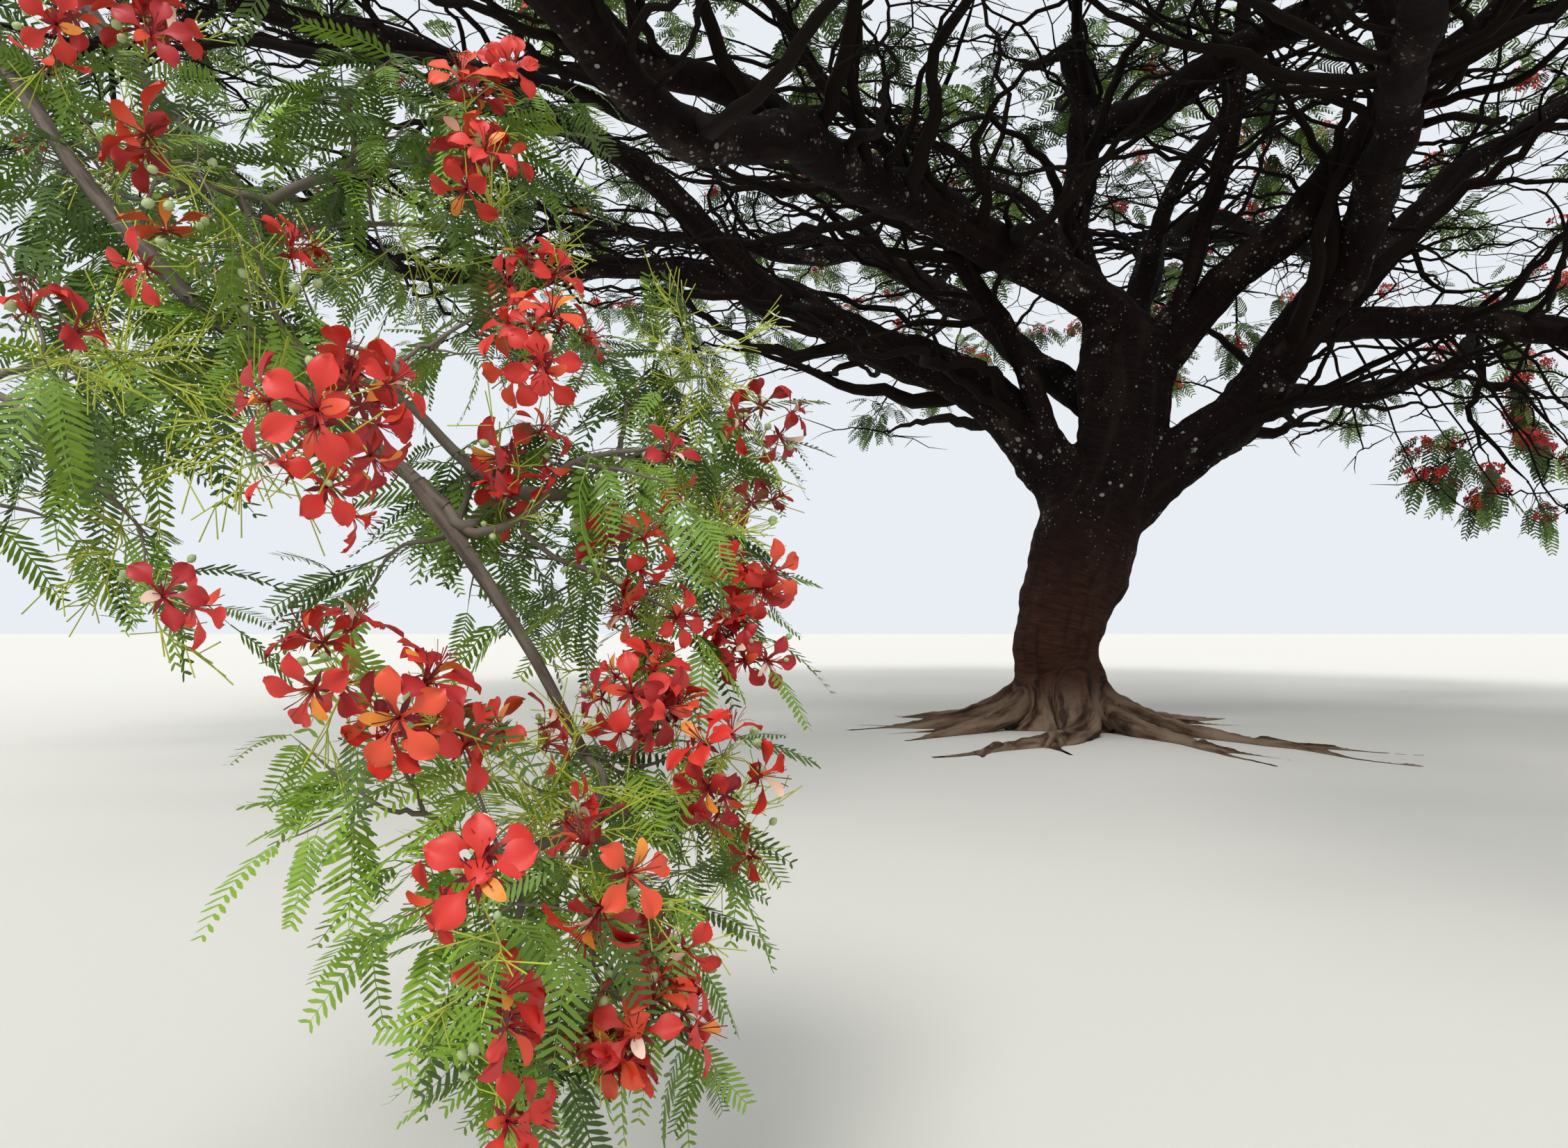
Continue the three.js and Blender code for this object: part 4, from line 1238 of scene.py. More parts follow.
def add_closed_tube(heap, points, sides):
    """Tube of ring points (n, sides, 3) with both ends capped."""
    heap.add(points, ring_faces(len(points), sides))
    for ring in (points[0][::-1], points[-1]):
        heap.add(ring, [list(range(sides))])


def add_root(heap, root, start, lift):
    """Tube of one surface root, whose tip sinks into the ground; returns its line and radii."""
    steps = round(root.length / ROOT_SAMPLE)
    point = start
    line, radii = [], []
    for i in range(steps + 1):
        t = i / steps
        radius = root.base + (root.tip - root.base) * t ** ROOT_TAPER
        fall = math.exp(-t * root.length / ROOT_FALL)
        height = lift * fall + radius * (ROOT_RISE * (1 - t) - ROOT_SINK * t)
        line.append([point[0], point[1], height])
        radii.append(radius)
        point = point + direction(between(root.heading, t), 0) * root.length / steps
    line, radii = smooth_line(np.array(line), np.array(radii), ROOT_STEPS)
    line = line + strays(line, ROOT_BEND) * ROOT_STRAY * np.linspace(0, 1, len(line))[:, None]
    points, _ = ring_points(line, radii, ROOT_SIDES)
    add_closed_tube(heap, points, ROOT_SIDES)
    return line, radii


def add_roots(heap):
    """The roots and their thinner forks; returns the line and radii of each."""
    grown = []
    for root in ROOTS:
        grown.append(add_root(heap, root, direction(root.heading[0], 0) * ROOT_START, ROOT_LIFT))
    for parent, share, fork in ROOT_FORKS:
        line, _ = grown[parent]
        grown.append(add_root(heap, fork, line[round(share * (len(line) - 1))], 0))
    return grown


def add_ridge(heap, grown, wood, depth):
    """Ridge that a bough's base sends down the side of what it grows from."""
    line, radii = fine_limb(grown)
    parent = wood[grown.limb.on]
    start = line[round(RIDGE_START / BARK_STEP)]
    along = grown.limb.at * (len(parent.axis) - 1)
    lower = along_axis(parent.axis, max(along - depth, 0) / (len(parent.axis) - 1))
    radius = at_place(parent.radii, along - depth)
    out = unit((start - line[0]) * [1, 1, 0])
    foot = lower + out * (radius - RIDGE_FOOT)
    middle = (start + foot) / 2 + out * radii[0] * RIDGE_BULGE
    thick = np.array([radii[0] * RIDGE_TOP, radii[0] * RIDGE_MIDDLE, RIDGE_FOOT])
    ridge, thick = smooth_line(np.array([start, middle, foot]), thick, RIDGE_STEPS)
    points, _ = ring_points(ridge, thick, RIDGE_SIDES)
    add_closed_tube(heap, points, RIDGE_SIDES)


def nearest_on(points, lines):
    """For each point: its distance up the tree along the nearest line, the offset in that line's
    frame and the line's radius there. A line is its points, its radii and how far up it starts."""
    best = np.full(len(points), np.inf)
    grain = np.zeros((len(points), 3))
    girth = np.zeros(len(points))
    for line, radii, first in lines:
        across, around = ring_frames(line)
        lengths = first + curve_length(line)
        for i in range(len(line) - 1):
            span = line[i + 1] - line[i]
            t = np.clip((points - line[i]) @ span / (span @ span), 0, 1)
            offset = points - line[i] - t[:, None] * span
            radius = radii[i] + (radii[i + 1] - radii[i]) * t
            gap = np.linalg.norm(offset, axis=1) - radius
            closer = gap < best
            best[closer] = gap[closer]
            girth[closer] = radius[closer]
            along = lengths[i] + t * (lengths[i + 1] - lengths[i])
            own = np.column_stack([along, offset @ across[i], offset @ around[i]])
            grain[closer] = own[closer]
    return grain, girth


def relaxed(mesh, values, steps):
    """Vertex values averaged with their neighbours' a few times."""
    edges = np.empty(len(mesh.edges) * 2, np.int32)
    mesh.edges.foreach_get("vertices", edges)
    one, other = edges.reshape(-1, 2).T
    count = np.bincount(edges, minlength=len(values))[:, None]
    for _ in range(steps):
        total = np.zeros_like(values)
        for axis in range(values.shape[1]):
            total[:, axis] = (np.bincount(one, values[other, axis], len(values))
                              + np.bincount(other, values[one, axis], len(values)))
        values = (values + total / count) / 2
    return values


def start_up_tree(wood, grown):
    """Distance along the limbs from the ground to where this one starts."""
    if grown.limb is None:
        return 0.0
    parent = wood[grown.limb.on]
    lengths = curve_length(parent.axis)
    return start_up_tree(wood, parent) + at_place(lengths, grown.limb.at * (len(lengths) - 1))


def parent_radius(wood, grown):
    """Radius of the limb that this one leaves, where it leaves it."""
    radii = wood[grown.limb.on].radii
    return at_place(radii, grown.limb.at * (len(radii) - 1))


def set_grain(mesh, grain):
    """Keeps the grain's coordinates on the mesh for its material."""
    attribute = mesh.attributes.new(GRAIN, "FLOAT_VECTOR", "POINT")
    attribute.data.foreach_set("vector", grain.astype(np.float32).ravel())


def add_trunk(heap, trunk):
    """Tube of the trunk with its flare; returns its line and radii."""
    line, radii = fine_limb(trunk)
    rings, outward = ring_points(line, radii, TRUNK_SIDES)
    angles = np.arctan2(outward[..., 1], outward[..., 0])
    flare = buttress(angles.ravel(), rings[..., 2].ravel()).reshape(angles.shape)
    rings = line[:, None] + (rings - line[:, None]) * flare[..., None]
    add_closed_tube(heap, rings, TRUNK_SIDES)
    return line, radii


def add_stub(heap, grown, wood):
    """Tube of a limb, of which only the base is fused where the rest is a tube of its own."""
    line, radii = fine_limb(grown)
    if grown.name not in FUSED:
        length = min(STUB_LENGTH + parent_radius(wood, grown), grown.limb.length * STUB_MOST)
        count = round(length / BARK_STEP) + 1
        line, radii = line[:count], radii[:count] * np.linspace(1, STUB_TAPER, count)
    points, _ = ring_points(line, radii, FUSED_SIDES)
    add_closed_tube(heap, points, FUSED_SIDES)
    return line, radii


def one_skin(rough, settings):
    """Mesh of the rough object's tubes with one relaxed skin over them."""
    remesh = rough.modifiers.new("skin", "REMESH")
    remesh.mode = "VOXEL"
    remesh.voxel_size = settings.skin
    relax = rough.modifiers.new("relax", "SMOOTH")
    relax.factor = 0.5
    relax.iterations = settings.relax
    graph = bpy.context.evaluated_depsgraph_get()
    return bpy.data.meshes.new_from_object(rough.evaluated_get(graph))


def vertex_vectors(mesh, name):
    """Places or normals of the mesh's vertices."""
    values = np.empty(len(mesh.vertices) * 3, np.float32)
    mesh.vertices.foreach_get(name, values)
    return values.reshape(-1, 3)


def fused_bark(settings):
    """Trunk, roots and the lower boughs, grown together into one skin."""
    wood, _ = whole_tree()
    heap = Heap()
    lines = [(*add_trunk(heap, wood["trunk"]), 0)]
    lines += [(line, radii, 0) for line, radii in add_roots(heap)]
    for grown in wood.values():
        if grown.limb and grown.limb.on in FUSED:
            lines.append((*add_stub(heap, grown, wood), start_up_tree(wood, grown)))
    for name, depth in RIDGES.items():
        add_ridge(heap, wood[name], wood, depth)
    rough = heap.piece("bark_rough", "bark", [])
    skin = one_skin(rough, settings)
    bpy.data.objects.remove(rough)
    points = vertex_vectors(skin, "co").astype(float)
    grain, girth = nearest_on(points, lines)
    points += vertex_vectors(skin, "normal") * bark_shift(points, girth)[:, None]
    points[:, 2] = np.maximum(points[:, 2], 0)
    skin.vertices.foreach_set("co", points.astype(np.float32).ravel())
    set_grain(skin, relaxed(skin, grain, settings.blend))
    skin.shade_smooth()
    skin.update()
    skin.name = "bark_main"
    as_piece(skin, "bark_main", [old_bark()], FUSED)


def bough_bark():
    """The other boughs, each a tube with lumps and knots of its own."""
    wood, _ = whole_tree()
    heap = Heap()
    grains = []
    names = [limb.name for limb in LIMBS if limb.name not in FUSED]
    for name in names:
        line, radii = fine_limb(wood[name])
        sides = THICK_SIDES if wood[name].limb.base > THICK_BASE else THIN_SIDES
        points, outward = ring_points(line, radii, sides)
        shift = bark_shift(points.reshape(-1, 3), np.repeat(radii, sides))
        points = points + outward * shift.reshape(len(line), sides, 1)
        heap.add(points, ring_faces(len(line), sides), int(name in YOUNG))
        across, around = ring_frames(line)
        offset = points - line[:, None]
        along = start_up_tree(wood, wood[name]) + curve_length(line)
        own = [np.broadcast_to(along[:, None], offset.shape[:2]),
               (offset * across[:, None]).sum(2), (offset * around[:, None]).sum(2)]
        grains.append(np.stack(own, axis=-1).reshape(-1, 3))
    barks = [bpy.data.materials["old flame tree bark with painted shade high up"], young_bark()]
    piece = heap.piece("bark_boughs", "bark", barks, names)
    set_grain(piece.data, np.vstack(grains))


# Leaves and flowers

Shape = namedtuple("Shape", "points faces tints")


def strip_faces(first, end):
    """Quads between the pairs of points from the first one to the end."""
    return [[k, k + 1, k + 3, k + 2] for k in range(first, end - 2, 2)]


def leaf_stalk(t, sag):
    """Point of a leaf's drooping stalk."""
    return np.array([t, 0, -sag * t * t])


def feathery_leaf(form, reach, sag, rng):
    """Leaf of unit length along X: pairs of narrow pinnae on a drooping stalk with a few bends."""
    points, faces = [], []
    spacing = PINNAE_OVER / (form.pairs - 1)
    for i in range(form.pairs):
        t = PINNAE_FROM + i * spacing
        base = leaf_stalk(t, sag)
        size = reach * math.sin(math.pi * ranged(PINNAE_ARC, t)) ** PINNAE_FULL
        wide = np.array([PINNA_WIDTH, 0, -PINNA_TILT * sag]) * spacing * (size / reach) ** 0.5
        for hand in (-1, 1):
            ahead = ranged(PINNA_AHEAD, rng.random())
            way = unit(np.array([ahead, hand, -ranged(PINNA_DROOP, rng.random())])) * size
            tip = base + way
            first = len(points)
            for along, width in form.pinna:
                middle = base + (tip - base) * along
                points += [middle - wide * width, middle + wide * width]
            faces += strip_faces(first, len(points))
    first = len(points)
    for t in np.linspace(0, STALK_END, form.bends + 2):
        half = np.array(STALK_HALF) * (1 - STALK_TAPER * t)
        points += [leaf_stalk(t, sag) - half, leaf_stalk(t, sag) + half]
    faces += strip_faces(first, len(points))
    return Shape(np.array(points), np.array(faces), np.zeros(len(faces), int))


def leaf_shapes(form, rng):
    """The shapes of one kind of leaf."""
    return [feathery_leaf(form, reach, sag, rng) for reach, sag in form.shapes]


def petal(form, phase):
    """Spoon-shaped petal along X: a narrow claw that widens into a round, wavy blade."""
    points = []
    for i in range(form.rows):
        t = 1 - (1 - i / (form.rows - 1)) ** ROW_POWER
        blade = max(t - form.claw, 0) / (1 - form.claw)
        round_share = 2 * math.sqrt(BLADE_END * blade * (1 - BLADE_END * blade))
        half = form.half_width * max(round_share, CLAW_WIDTH)
        height = form.lift * math.sin(math.pi * t) - BLADE_DISH * form.lift * t
        for j in range(form.columns):
            across = 2 * j / (form.columns - 1) - 1
            reach = form.length * (1 - BLADE_ROUND * across * across * blade)
            turn = BLADE_WAVES * math.pi * across + phase + BLADE_TWIST * t
            wave = form.ruffle * blade * math.sin(turn)
            dish = abs(across) * half * BLADE_DISH * blade
            points.append([t * reach, across * half, height + wave + dish])
    i, j = np.meshgrid(np.arange(form.rows - 1), np.arange(form.columns - 1), indexing="ij")
    first = (i * form.columns + j).ravel()
    faces = np.stack([first, first + form.columns, first + form.columns + 1, first + 1], axis=-1)
    return np.array(points), faces


def flat_blade(rows):
    """Narrow blade along X of rows, each with its distance out, half width and height."""
    points = [[out, side * half, height] for out, half, height in rows for side in (-1, 1)]
    return np.array(points), np.array(strip_faces(0, len(points)))


def turned(points, angle, tilt):
    """Points turned up by the tilt and then round +Z by the angle."""
    x = points[:, 0] * math.cos(tilt) - points[:, 2] * math.sin(tilt)
    z = points[:, 0] * math.sin(tilt) + points[:, 2] * math.cos(tilt)
    return np.stack([x * math.cos(angle) - points[:, 1] * math.sin(angle),
                     x * math.sin(angle) + points[:, 1] * math.cos(angle), z], axis=-1)


def joined(parts):
    """Shape of several (points, faces, tint) parts."""
    points, faces, tints = [], [], []
    count = 0
    for part_points, part_faces, tint in parts:
        points.append(part_points)
        faces.append(part_faces + count)
        tints.append(np.full(len(part_faces), tint))
        count += len(part_points)
    return Shape(np.vstack(points), np.vstack(faces), np.concatenate(tints))


def open_flower(rng):
    """Flower that faces +Z: four scarlet petals, one standard, pointed sepals and stamens."""
    parts = []
    for k in range(PETALS):
        angle = 2 * math.pi * k / PETALS + rng.normal() * PETAL_SWAY
        if k == 0:
            points, faces = petal(STANDARD, 0)
            parts.append((turned(points, angle, STANDARD_TILT), faces, STANDARD_TINT))
        else:
            points, faces = petal(RED_PETAL, rng.random() * 6)
            tilt = ranged(PETAL_TILTS, rng.random())
            parts.append((turned(points, angle, tilt), faces, PETAL_TINT))
        points, faces = flat_blade(SEPAL)
        parts.append((turned(points, angle + math.pi / PETALS, SEPAL_TILT), faces, CALYX_TINT))
    for k in range(STAMENS):
        reach = ranged(STAMEN_REACH, rng.random())
        points, faces = flat_blade([(reach * out, half, height) for out, half, height in STAMEN])
        tilt = ranged(STAMEN_TILTS, rng.random())
        parts.append((turned(points, 2 * math.pi * k / STAMENS, tilt), faces, CALYX_TINT))
    return joined(parts)


def far_flower(rng):
    """Flower of the crown that faces +Z: five spoon petals of four corners each."""
    parts = []
    for k in range(PETALS):
        tilt = ranged(FAR_TILTS, rng.random())
        angle = 2 * math.pi * (k + FAR_SWAY * rng.random()) / PETALS
        parts.append((turned(np.array(FAR_PETAL), angle, tilt), np.array([[0, 3, 2, 1]]), PETAL_TINT))
    return joined(parts)


def small_bud():
    """Round bud of unit length along X with a short point."""
    line = np.array([[place, 0, 0] for place, _ in BUD_RINGS])
    points, _ = ring_points(line, np.array([radius for _, radius in BUD_RINGS]), BUD_SIDES)
    faces = ring_faces(len(line), BUD_SIDES)
    return Shape(points.reshape(-1, 3), faces, np.zeros(len(faces), int))


def frames_towards(ways, rolls):
    """Frames whose rows are the way, a side turned by the roll and the normal."""
    ways = ways / np.linalg.norm(ways, axis=1)[:, None]
    sides = np.cross(np.array([0, 0, 1.0]), ways)
    sides += np.array([1e-6, 0, 0])
    sides /= np.linalg.norm(sides, axis=1)[:, None]
    normals = np.cross(ways, sides)
    turned_sides = sides * np.cos(rolls)[:, None] + normals * np.sin(rolls)[:, None]
    return np.stack([ways, turned_sides, np.cross(ways, turned_sides)], axis=1)


def facing_frames(normals, spins):
    """Frames of flowers: the last row faces the normal."""
    return frames_towards(normals, spins)[:, [1, 2, 0]]


# Growth beyond the solids' rule

Item = namedtuple("Item", "point kind amount")
Leaf = namedtuple("Leaf", "place way length")


def spray_targets(spray, count, rng):
    """Places spread over a spray, from near its root to its tip, a little above and below it."""
    t = ranged(SPRAY_ALONG, rng.random(count) ** SPRAY_CROWDING)
    wide = np.where(t < LEAF_WIDEST, t / LEAF_WIDEST, (SPRAY_END - t) / (SPRAY_END - LEAF_WIDEST))
    across = (2 * rng.random(count) - 1) * spray.half_width * np.clip(wide, SPRAY_NARROWEST, 1)
    lift = rng.normal(size=count) * SPRAY_DEPTH * spray.length
    points = (spray.root + np.outer(t * spray.length, spray.along) + np.outer(across, spray.side)
              + np.outer(lift, spray.normal))
    return [Item(point, "leaf", 1) for point in points]


def leaf_way(towards, droop, rng):
    """Way of a leaf: about towards a point, and never steeply up."""
    way = unit(towards) + rng.normal(size=3) * LEAF_TURN
    way[2] = min(way[2] * LEAF_SLOPE - droop, LEAF_LIFT)
    return unit(way)


def fine_spray(spray, settings, rng):
    """Finer twigs that one spray of the solids stands for, and their leaves."""
    count = max(FEWEST_TIPS, round(settings.tips * (spray.length / spray.style.leaf) ** TIPS_POWER))
    if spray.style is not CROWN_SPRAY:
        count = max(FEWEST_TIPS, count // HANGING_TIPS)
    targets = spray_targets(spray, count, rng)
    stem = settings.fine_twig * count ** PIPE_POWER
    strands, leaves = [], []
    foot = spray.root + spray.along * spray.length * SPRAY_FOOT
    grow_twigs(Strand([spray.root, foot], [stem, stem]), targets, settings.fine_twig, strands, LAST_TIPS)
    droop = spray.style.droop + SPRAY_LEAF_DROOP
    for strand in strands:
        for item, root in strand.leaves:
            way = leaf_way(item.point - root, droop, rng)
            leaves.append(Leaf(root, way, settings.leaf * ranged(SPRAY_LEAF, rng.random())))
        if strand.leaves:
            way = leaf_way(strand.points[-1] - strand.points[-2], droop, rng)
            length = settings.leaf * ranged(TIP_LEAF, rng.random())
            leaves.append(Leaf(strand.points[-1], way, length))
    return strands, leaves


def side_bough(start, ahead, girth, hand, settings, rng):
    """One bough that winds off to a side of its limb and ends in forking twigs."""
    size = rng.random() ** SIDE_SIZES
    shown = LARGE_SHARE if seen_large(start) else 1
    length = settings.side_length * ranged(SIDE_LENGTHS, size) * shown
    side = unit(np.array([-ahead[1], ahead[0], 0.05])) * hand * ranged(SIDE_OUT, rng.random())
    onward = ahead * [1, 1, SIDE_LEVEL] * ranged(SIDE_AHEAD, rng.random())
    way = unit(side + onward + [0, 0, ranged(SIDE_RISE, rng.random())])
    points = [start, start + way * (girth + SIDE_FOOT)]
    lowest = max(min(SIDE_LOWEST, start[2]), start[2] - SIDE_DROP)
    for _ in range(SIDE_STEPS):
        way = unit(way + rng.normal(size=3) * SIDE_TURN + [0, 0, SIDE_CLIMB])
        points.append(inside_crown(points[-1] + way * length / SIDE_STEPS, lowest))
    count = round(settings.side_tips * ranged(SIDE_TIPS, size))
    stem = settings.fine_twig * SIDE_STEM * count ** PIPE_POWER
    base = max(girth * ranged(SIDE_GIRTHS, size), stem * SIDE_THINNEST)
    radii = [base * SIDE_COLLAR, *np.linspace(base, stem, len(points) - 1)]
    middle = points[-1] + way * ranged(SIDE_REACH, size)
    spread = ranged(SIDE_SPREAD, size) * np.array(SIDE_FLAT)
    around = np.clip(rng.normal(size=(count, 3)), -WIDEST_DRAW, WIDEST_DRAW) * spread
    items = [Item(inside_crown(middle + stray, lowest - SIDE_DROP), "leaf", 1) for stray in around]
    strands = []
    grow_twigs(Strand(points, radii), items, settings.fine_twig, strands, LAST_TIPS)
    return strands


def few_leaves(strands, settings, rng):
    """Small leaves on some of the tips at the crown's outside, none where they would be seen large."""
    leaves = []
    for strand in strands:
        for item, root in strand.leaves:
            angle = math.atan2(root[1], root[0])
            spread = min(np.hypot(root[0], root[1]) / crown_edge(angle), 1)
            outer = spread > RIM_FROM or root[2] > crown_height(angle, spread) - SHELL_DEPTH
            if rng.random() < settings.side_leaves and outer and not seen_large(root):
                way = leaf_way(item.point - root, SIDE_LEAF_DROOP, rng)
                leaves.append(Leaf(root, way, settings.leaf * ranged(SIDE_LEAF, rng.random())))
    return leaves


def side_boughs(grown, settings, rng):
    """Boughs and twigs that leave a limb to both sides, mostly bare, and their few leaves."""
    line, radii = fine_limb(grown)
    lengths = curve_length(line)
    strands = []
    hand = 1
    gone = SIDE_START * lengths[-1]
    while gone < lengths[-1]:
        i = min(int(np.searchsorted(lengths, gone)), len(line) - 2)
        ahead = unit(line[i + 1] - line[i])
        strands += side_bough(line[i], ahead, radii[i], hand, settings, rng)
        gone += settings.side_spacing * ranged(SIDE_GAPS, rng.random())
        hand = -hand
    return strands, few_leaves(strands, settings, rng)


def skirt(wood, settings, rng):
    """Thin boughs that arch down to the right, where the photograph shows their tips."""
    strands = []
    for share, seen in zip(np.linspace(*SKIRT_PART, len(SKIRT_SEEN)), SKIRT_SEEN):
        start = along_axis(wood[SKIRT_LIMB].axis, share)
        end = seen_at(*seen)
        rise = np.array([0, 0, SKIRT_ARCH]) * np.linalg.norm(end - start)
        bends = [start * (1 - t) + end * t + rise * arch for t, arch in SKIRT_BENDS]
        items = [Item(end + rng.normal(size=3) * SKIRT_SPREAD + SKIRT_LEAN, "leaf", 1)
                 for _ in range(SKIRT_TIPS)]
        radii = [SKIRT_GIRTH * taper for taper in SKIRT_TAPER]
        bough = Strand([start, *bends, end], radii)
        grow_twigs(bough, items, settings.fine_twig, strands, LAST_TIPS)
    return strands


@lru_cache(maxsize=None)
def crown_growth():
    """Strands and leaves of every crown mass by its name."""
    settings = bpy.context.scene.flame_foliage
    wood, masses = whole_tree()
    rng = np.random.default_rng(settings.seed)
    growth = {}
    for limb in LIMBS:
        if limb.mass is None or limb.mass in NEAR_MASSES:
            continue
        coarse, sprays = masses[limb.mass]
        fine, leaves = [], []
        for spray in sprays:
            strands, more = fine_spray(spray, settings, rng)
            fine += strands
            leaves += more
        strands, more = side_boughs(wood[limb.name], settings, rng)
        growth[limb.mass] = (coarse, fine + strands, leaves + more)
    for name, mass in BARE_LIMBS.items():
        strands, more = side_boughs(wood[name], settings, rng)
        coarse, fine, leaves = growth[mass]
        growth[mass] = (coarse, fine + strands, leaves + more)
    low_right = skirt(wood, settings, rng)
    growth["crown_right_low"][1].extend(low_right)
    growth["crown_right_low"][2].extend(few_leaves(low_right, settings, rng))
    return growth


def add_strand(heap, strand, per, sway, rng):
    """Tube of one twig, with more sides where it is thick."""
    line, thick = wandering_line(strand.points, strand.radii, per, sway, rng)
    thick[-1] *= TWIG_TIP
    heap.add_tube(line, thick, 6 if thick[0] > SIX_SIDED else 4 if thick[0] > THICK_TWIG else 3)


def twig_bark_with_painted_shade():
    """Matte bark of thin twigs, near black against the sky: dark bark with painted shade."""
    bark = plain("flame tree twig bark with painted shade", "#150f0c", 0.9)
    bark.node_tree.nodes["Principled BSDF"].inputs["Specular IOR Level"].default_value = 0.1
    return bark


def crown_twigs(settings):
    """Side boughs and twigs of the crown, joined into one piece for each part of it."""
    growth = crown_growth()
    rng = np.random.default_rng(settings.seed + 1)
    bark = twig_bark_with_painted_shade()
    for name, masses in CROWN_PARTS.items():
        heap = Heap()
        for mass in masses:
            coarse, fine, _ = growth[mass]
            for strand in coarse:
                add_strand(heap, strand, 4, COARSE_SWAY, rng)
            for strand in fine:
                add_strand(heap, strand, 3 if strand.radii[0] > THICK_TWIG else 2, FINE_SWAY, rng)
        heap.piece("twigs_" + name, "twig", [bark])


def add_leaves(heap, leaves, shapes, tints, rng):
    """Copies of the leaf shapes, chosen at random, on their places."""
    places = np.array([leaf.place for leaf in leaves])
    ways = np.array([leaf.way for leaf in leaves])
    sizes = np.array([leaf.length for leaf in leaves])
    frames = frames_towards(ways, rng.normal(size=len(leaves)) * LEAF_TWIST)
    pick = rng.integers(len(shapes), size=len(leaves))
    for k, shape in enumerate(shapes):
        chosen = pick == k
        if chosen.any():
            heap.add_copies(shape, places[chosen], frames[chosen], sizes[chosen], tints[chosen][:, None])


def crown_greens():
    """Matte leaflets: green darkened with painted shade, yellow-green where light comes through, deep
    green in shade.
    """
    return [plain("flame tree leaf", bpy.context.scene.flame_colours.leaf, 0.7),
            plain("flame tree leaf, lit through", "#7d9a45", 0.7),
            plain("flame tree leaf in shade", "#3a5125", 0.7)]


def crown_leaves(settings):
    """Feathery leaves of the crown, green by the spray, joined into one piece for each part."""
    growth = crown_growth()
    rng = np.random.default_rng(settings.seed + 2)
    greens = crown_greens()
    shapes = leaf_shapes(CROWN_LEAF, rng)
    for name, masses in CROWN_PARTS.items():
        heap = Heap()
        for mass in masses:
            leaves = growth[mass][2]
            sprays = rng.choice(len(greens), size=len(leaves) // LEAVES_ALIKE + 1, p=GREEN_SHARES)
            tints = np.repeat(sprays, LEAVES_ALIKE)[:len(leaves)]
            add_leaves(heap, leaves, shapes, tints, rng)
        heap.piece("leaves_" + name, "foliage", greens, masses)


def scattered_ways(count, lean, rng):
    """Unit vectors all round, drawn towards the lean."""
    ways = rng.normal(size=(count, 3))
    ways /= np.linalg.norm(ways, axis=1)[:, None]
    ways += np.asarray(lean)
    return ways / np.linalg.norm(ways, axis=1)[:, None]


def petal_tints(count, rng):
    """Index into petal_materials of petals, standard and calyx for each flower."""
    petals = rng.choice([0, 1, 2], size=count, p=PETAL_SHARES)
    standards = rng.choice([2, 3, 4], size=count, p=STANDARD_SHARES)
    calyxes = np.full(count, 5)
    return np.stack([petals, standards, calyxes], axis=1)


def petal_materials():
    """Soft petals with a faint sheen, in reds, orange and cream, and the duller calyx."""
    return [plain("scarlet petal", bpy.context.scene.flame_colours.petal, 0.5),
            plain("crimson petal", "#a81b1d", 0.5),
            plain("orange-red petal", "#d64a28", 0.5),
            plain("orange standard petal", "#e0872c", 0.5),
            plain("cream standard petal", "#f1cdb6", 0.5),
            plain("dark red calyx and stamens", "#7a1219", 0.6)]


def blossom_draw(places):
    """How likely a cluster is at each place: more at the right, most where it hangs low there."""
    x, y, z = places.T
    drawn = 1 + RIGHT_BLOOM * (x > 1) * (z > 3) + LOW_BLOOM * (z < LOW_BLOOM_UNDER) * (x > 4)
    drawn *= np.hypot(x, y) > BLOSSOM_FROM
    return drawn * [not seen_large(place) for place in places]


def crown_blossom(settings):
    """Clusters of red flowers among the leaves."""
    growth = crown_growth()
    rng = np.random.default_rng(settings.seed + 3)
    leaves = [leaf for _, _, mass_leaves in growth.values() for leaf in mass_leaves]
    places = np.array([leaf.place + leaf.way * leaf.length * BLOSSOM_ALONG for leaf in leaves])
    drawn = blossom_draw(places)
    chosen = places[rng.choice(len(places), settings.clusters, replace=False, p=drawn / drawn.sum())]
    heap = Heap()
    shapes = [far_flower(rng) for _ in range(FAR_SHAPES)]
    for place in chosen:
        count = int(rng.integers(*CLUSTER_FLOWERS))
        out = scattered_ways(count, CLUSTER_LEAN, rng)
        centres = place + out * CLUSTER_HALF * ranged(CLUSTER_DEPTH, rng.random((count, 1)))
        frames = facing_frames(out, 2 * math.pi * rng.random(count))
        sizes = ranged(FAR_FLOWER, rng.random(count))
        shape = shapes[int(rng.integers(FAR_SHAPES))]
        heap.add_copies(shape, centres, frames, sizes, petal_tints(count, rng))
    heap.piece("crown_blossom", "petal", petal_materials())


# Near boughs, whose twigs run by the same rule to the places that the photograph shows

def near_items(rng):
    """Clusters, leaves and bare stalks at the places where the photograph shows them."""
    items = []
    for column, row, reach, flowers in BLOSSOM_SEEN:
        place = seen_at(column, row, reach - BLOOM_AHEAD)
        items.append(Item(place, "bloom", flowers))
        for point in place + rng.normal(size=(NEAR_LEAVES, 3)) * NEAR_STRAY + [0, NEAR_BEHIND, 0]:
            items.append(Item(point, "leaf", 1))
    for column, row, reach, spread, leaves in LEAVES_SEEN:
        stray = np.clip(rng.normal(size=(2 * leaves, 3)), -WIDEST_DRAW, WIDEST_DRAW)
        for point in seen_at(column, row, reach) + stray * spread * NEAR_SPREAD:
            items.append(Item(point, "leaf", 1))
    for column, row, reach, brooms in STALKS_SEEN:
        items.append(Item(seen_at(column, row, reach), "stalks", brooms))
    return items


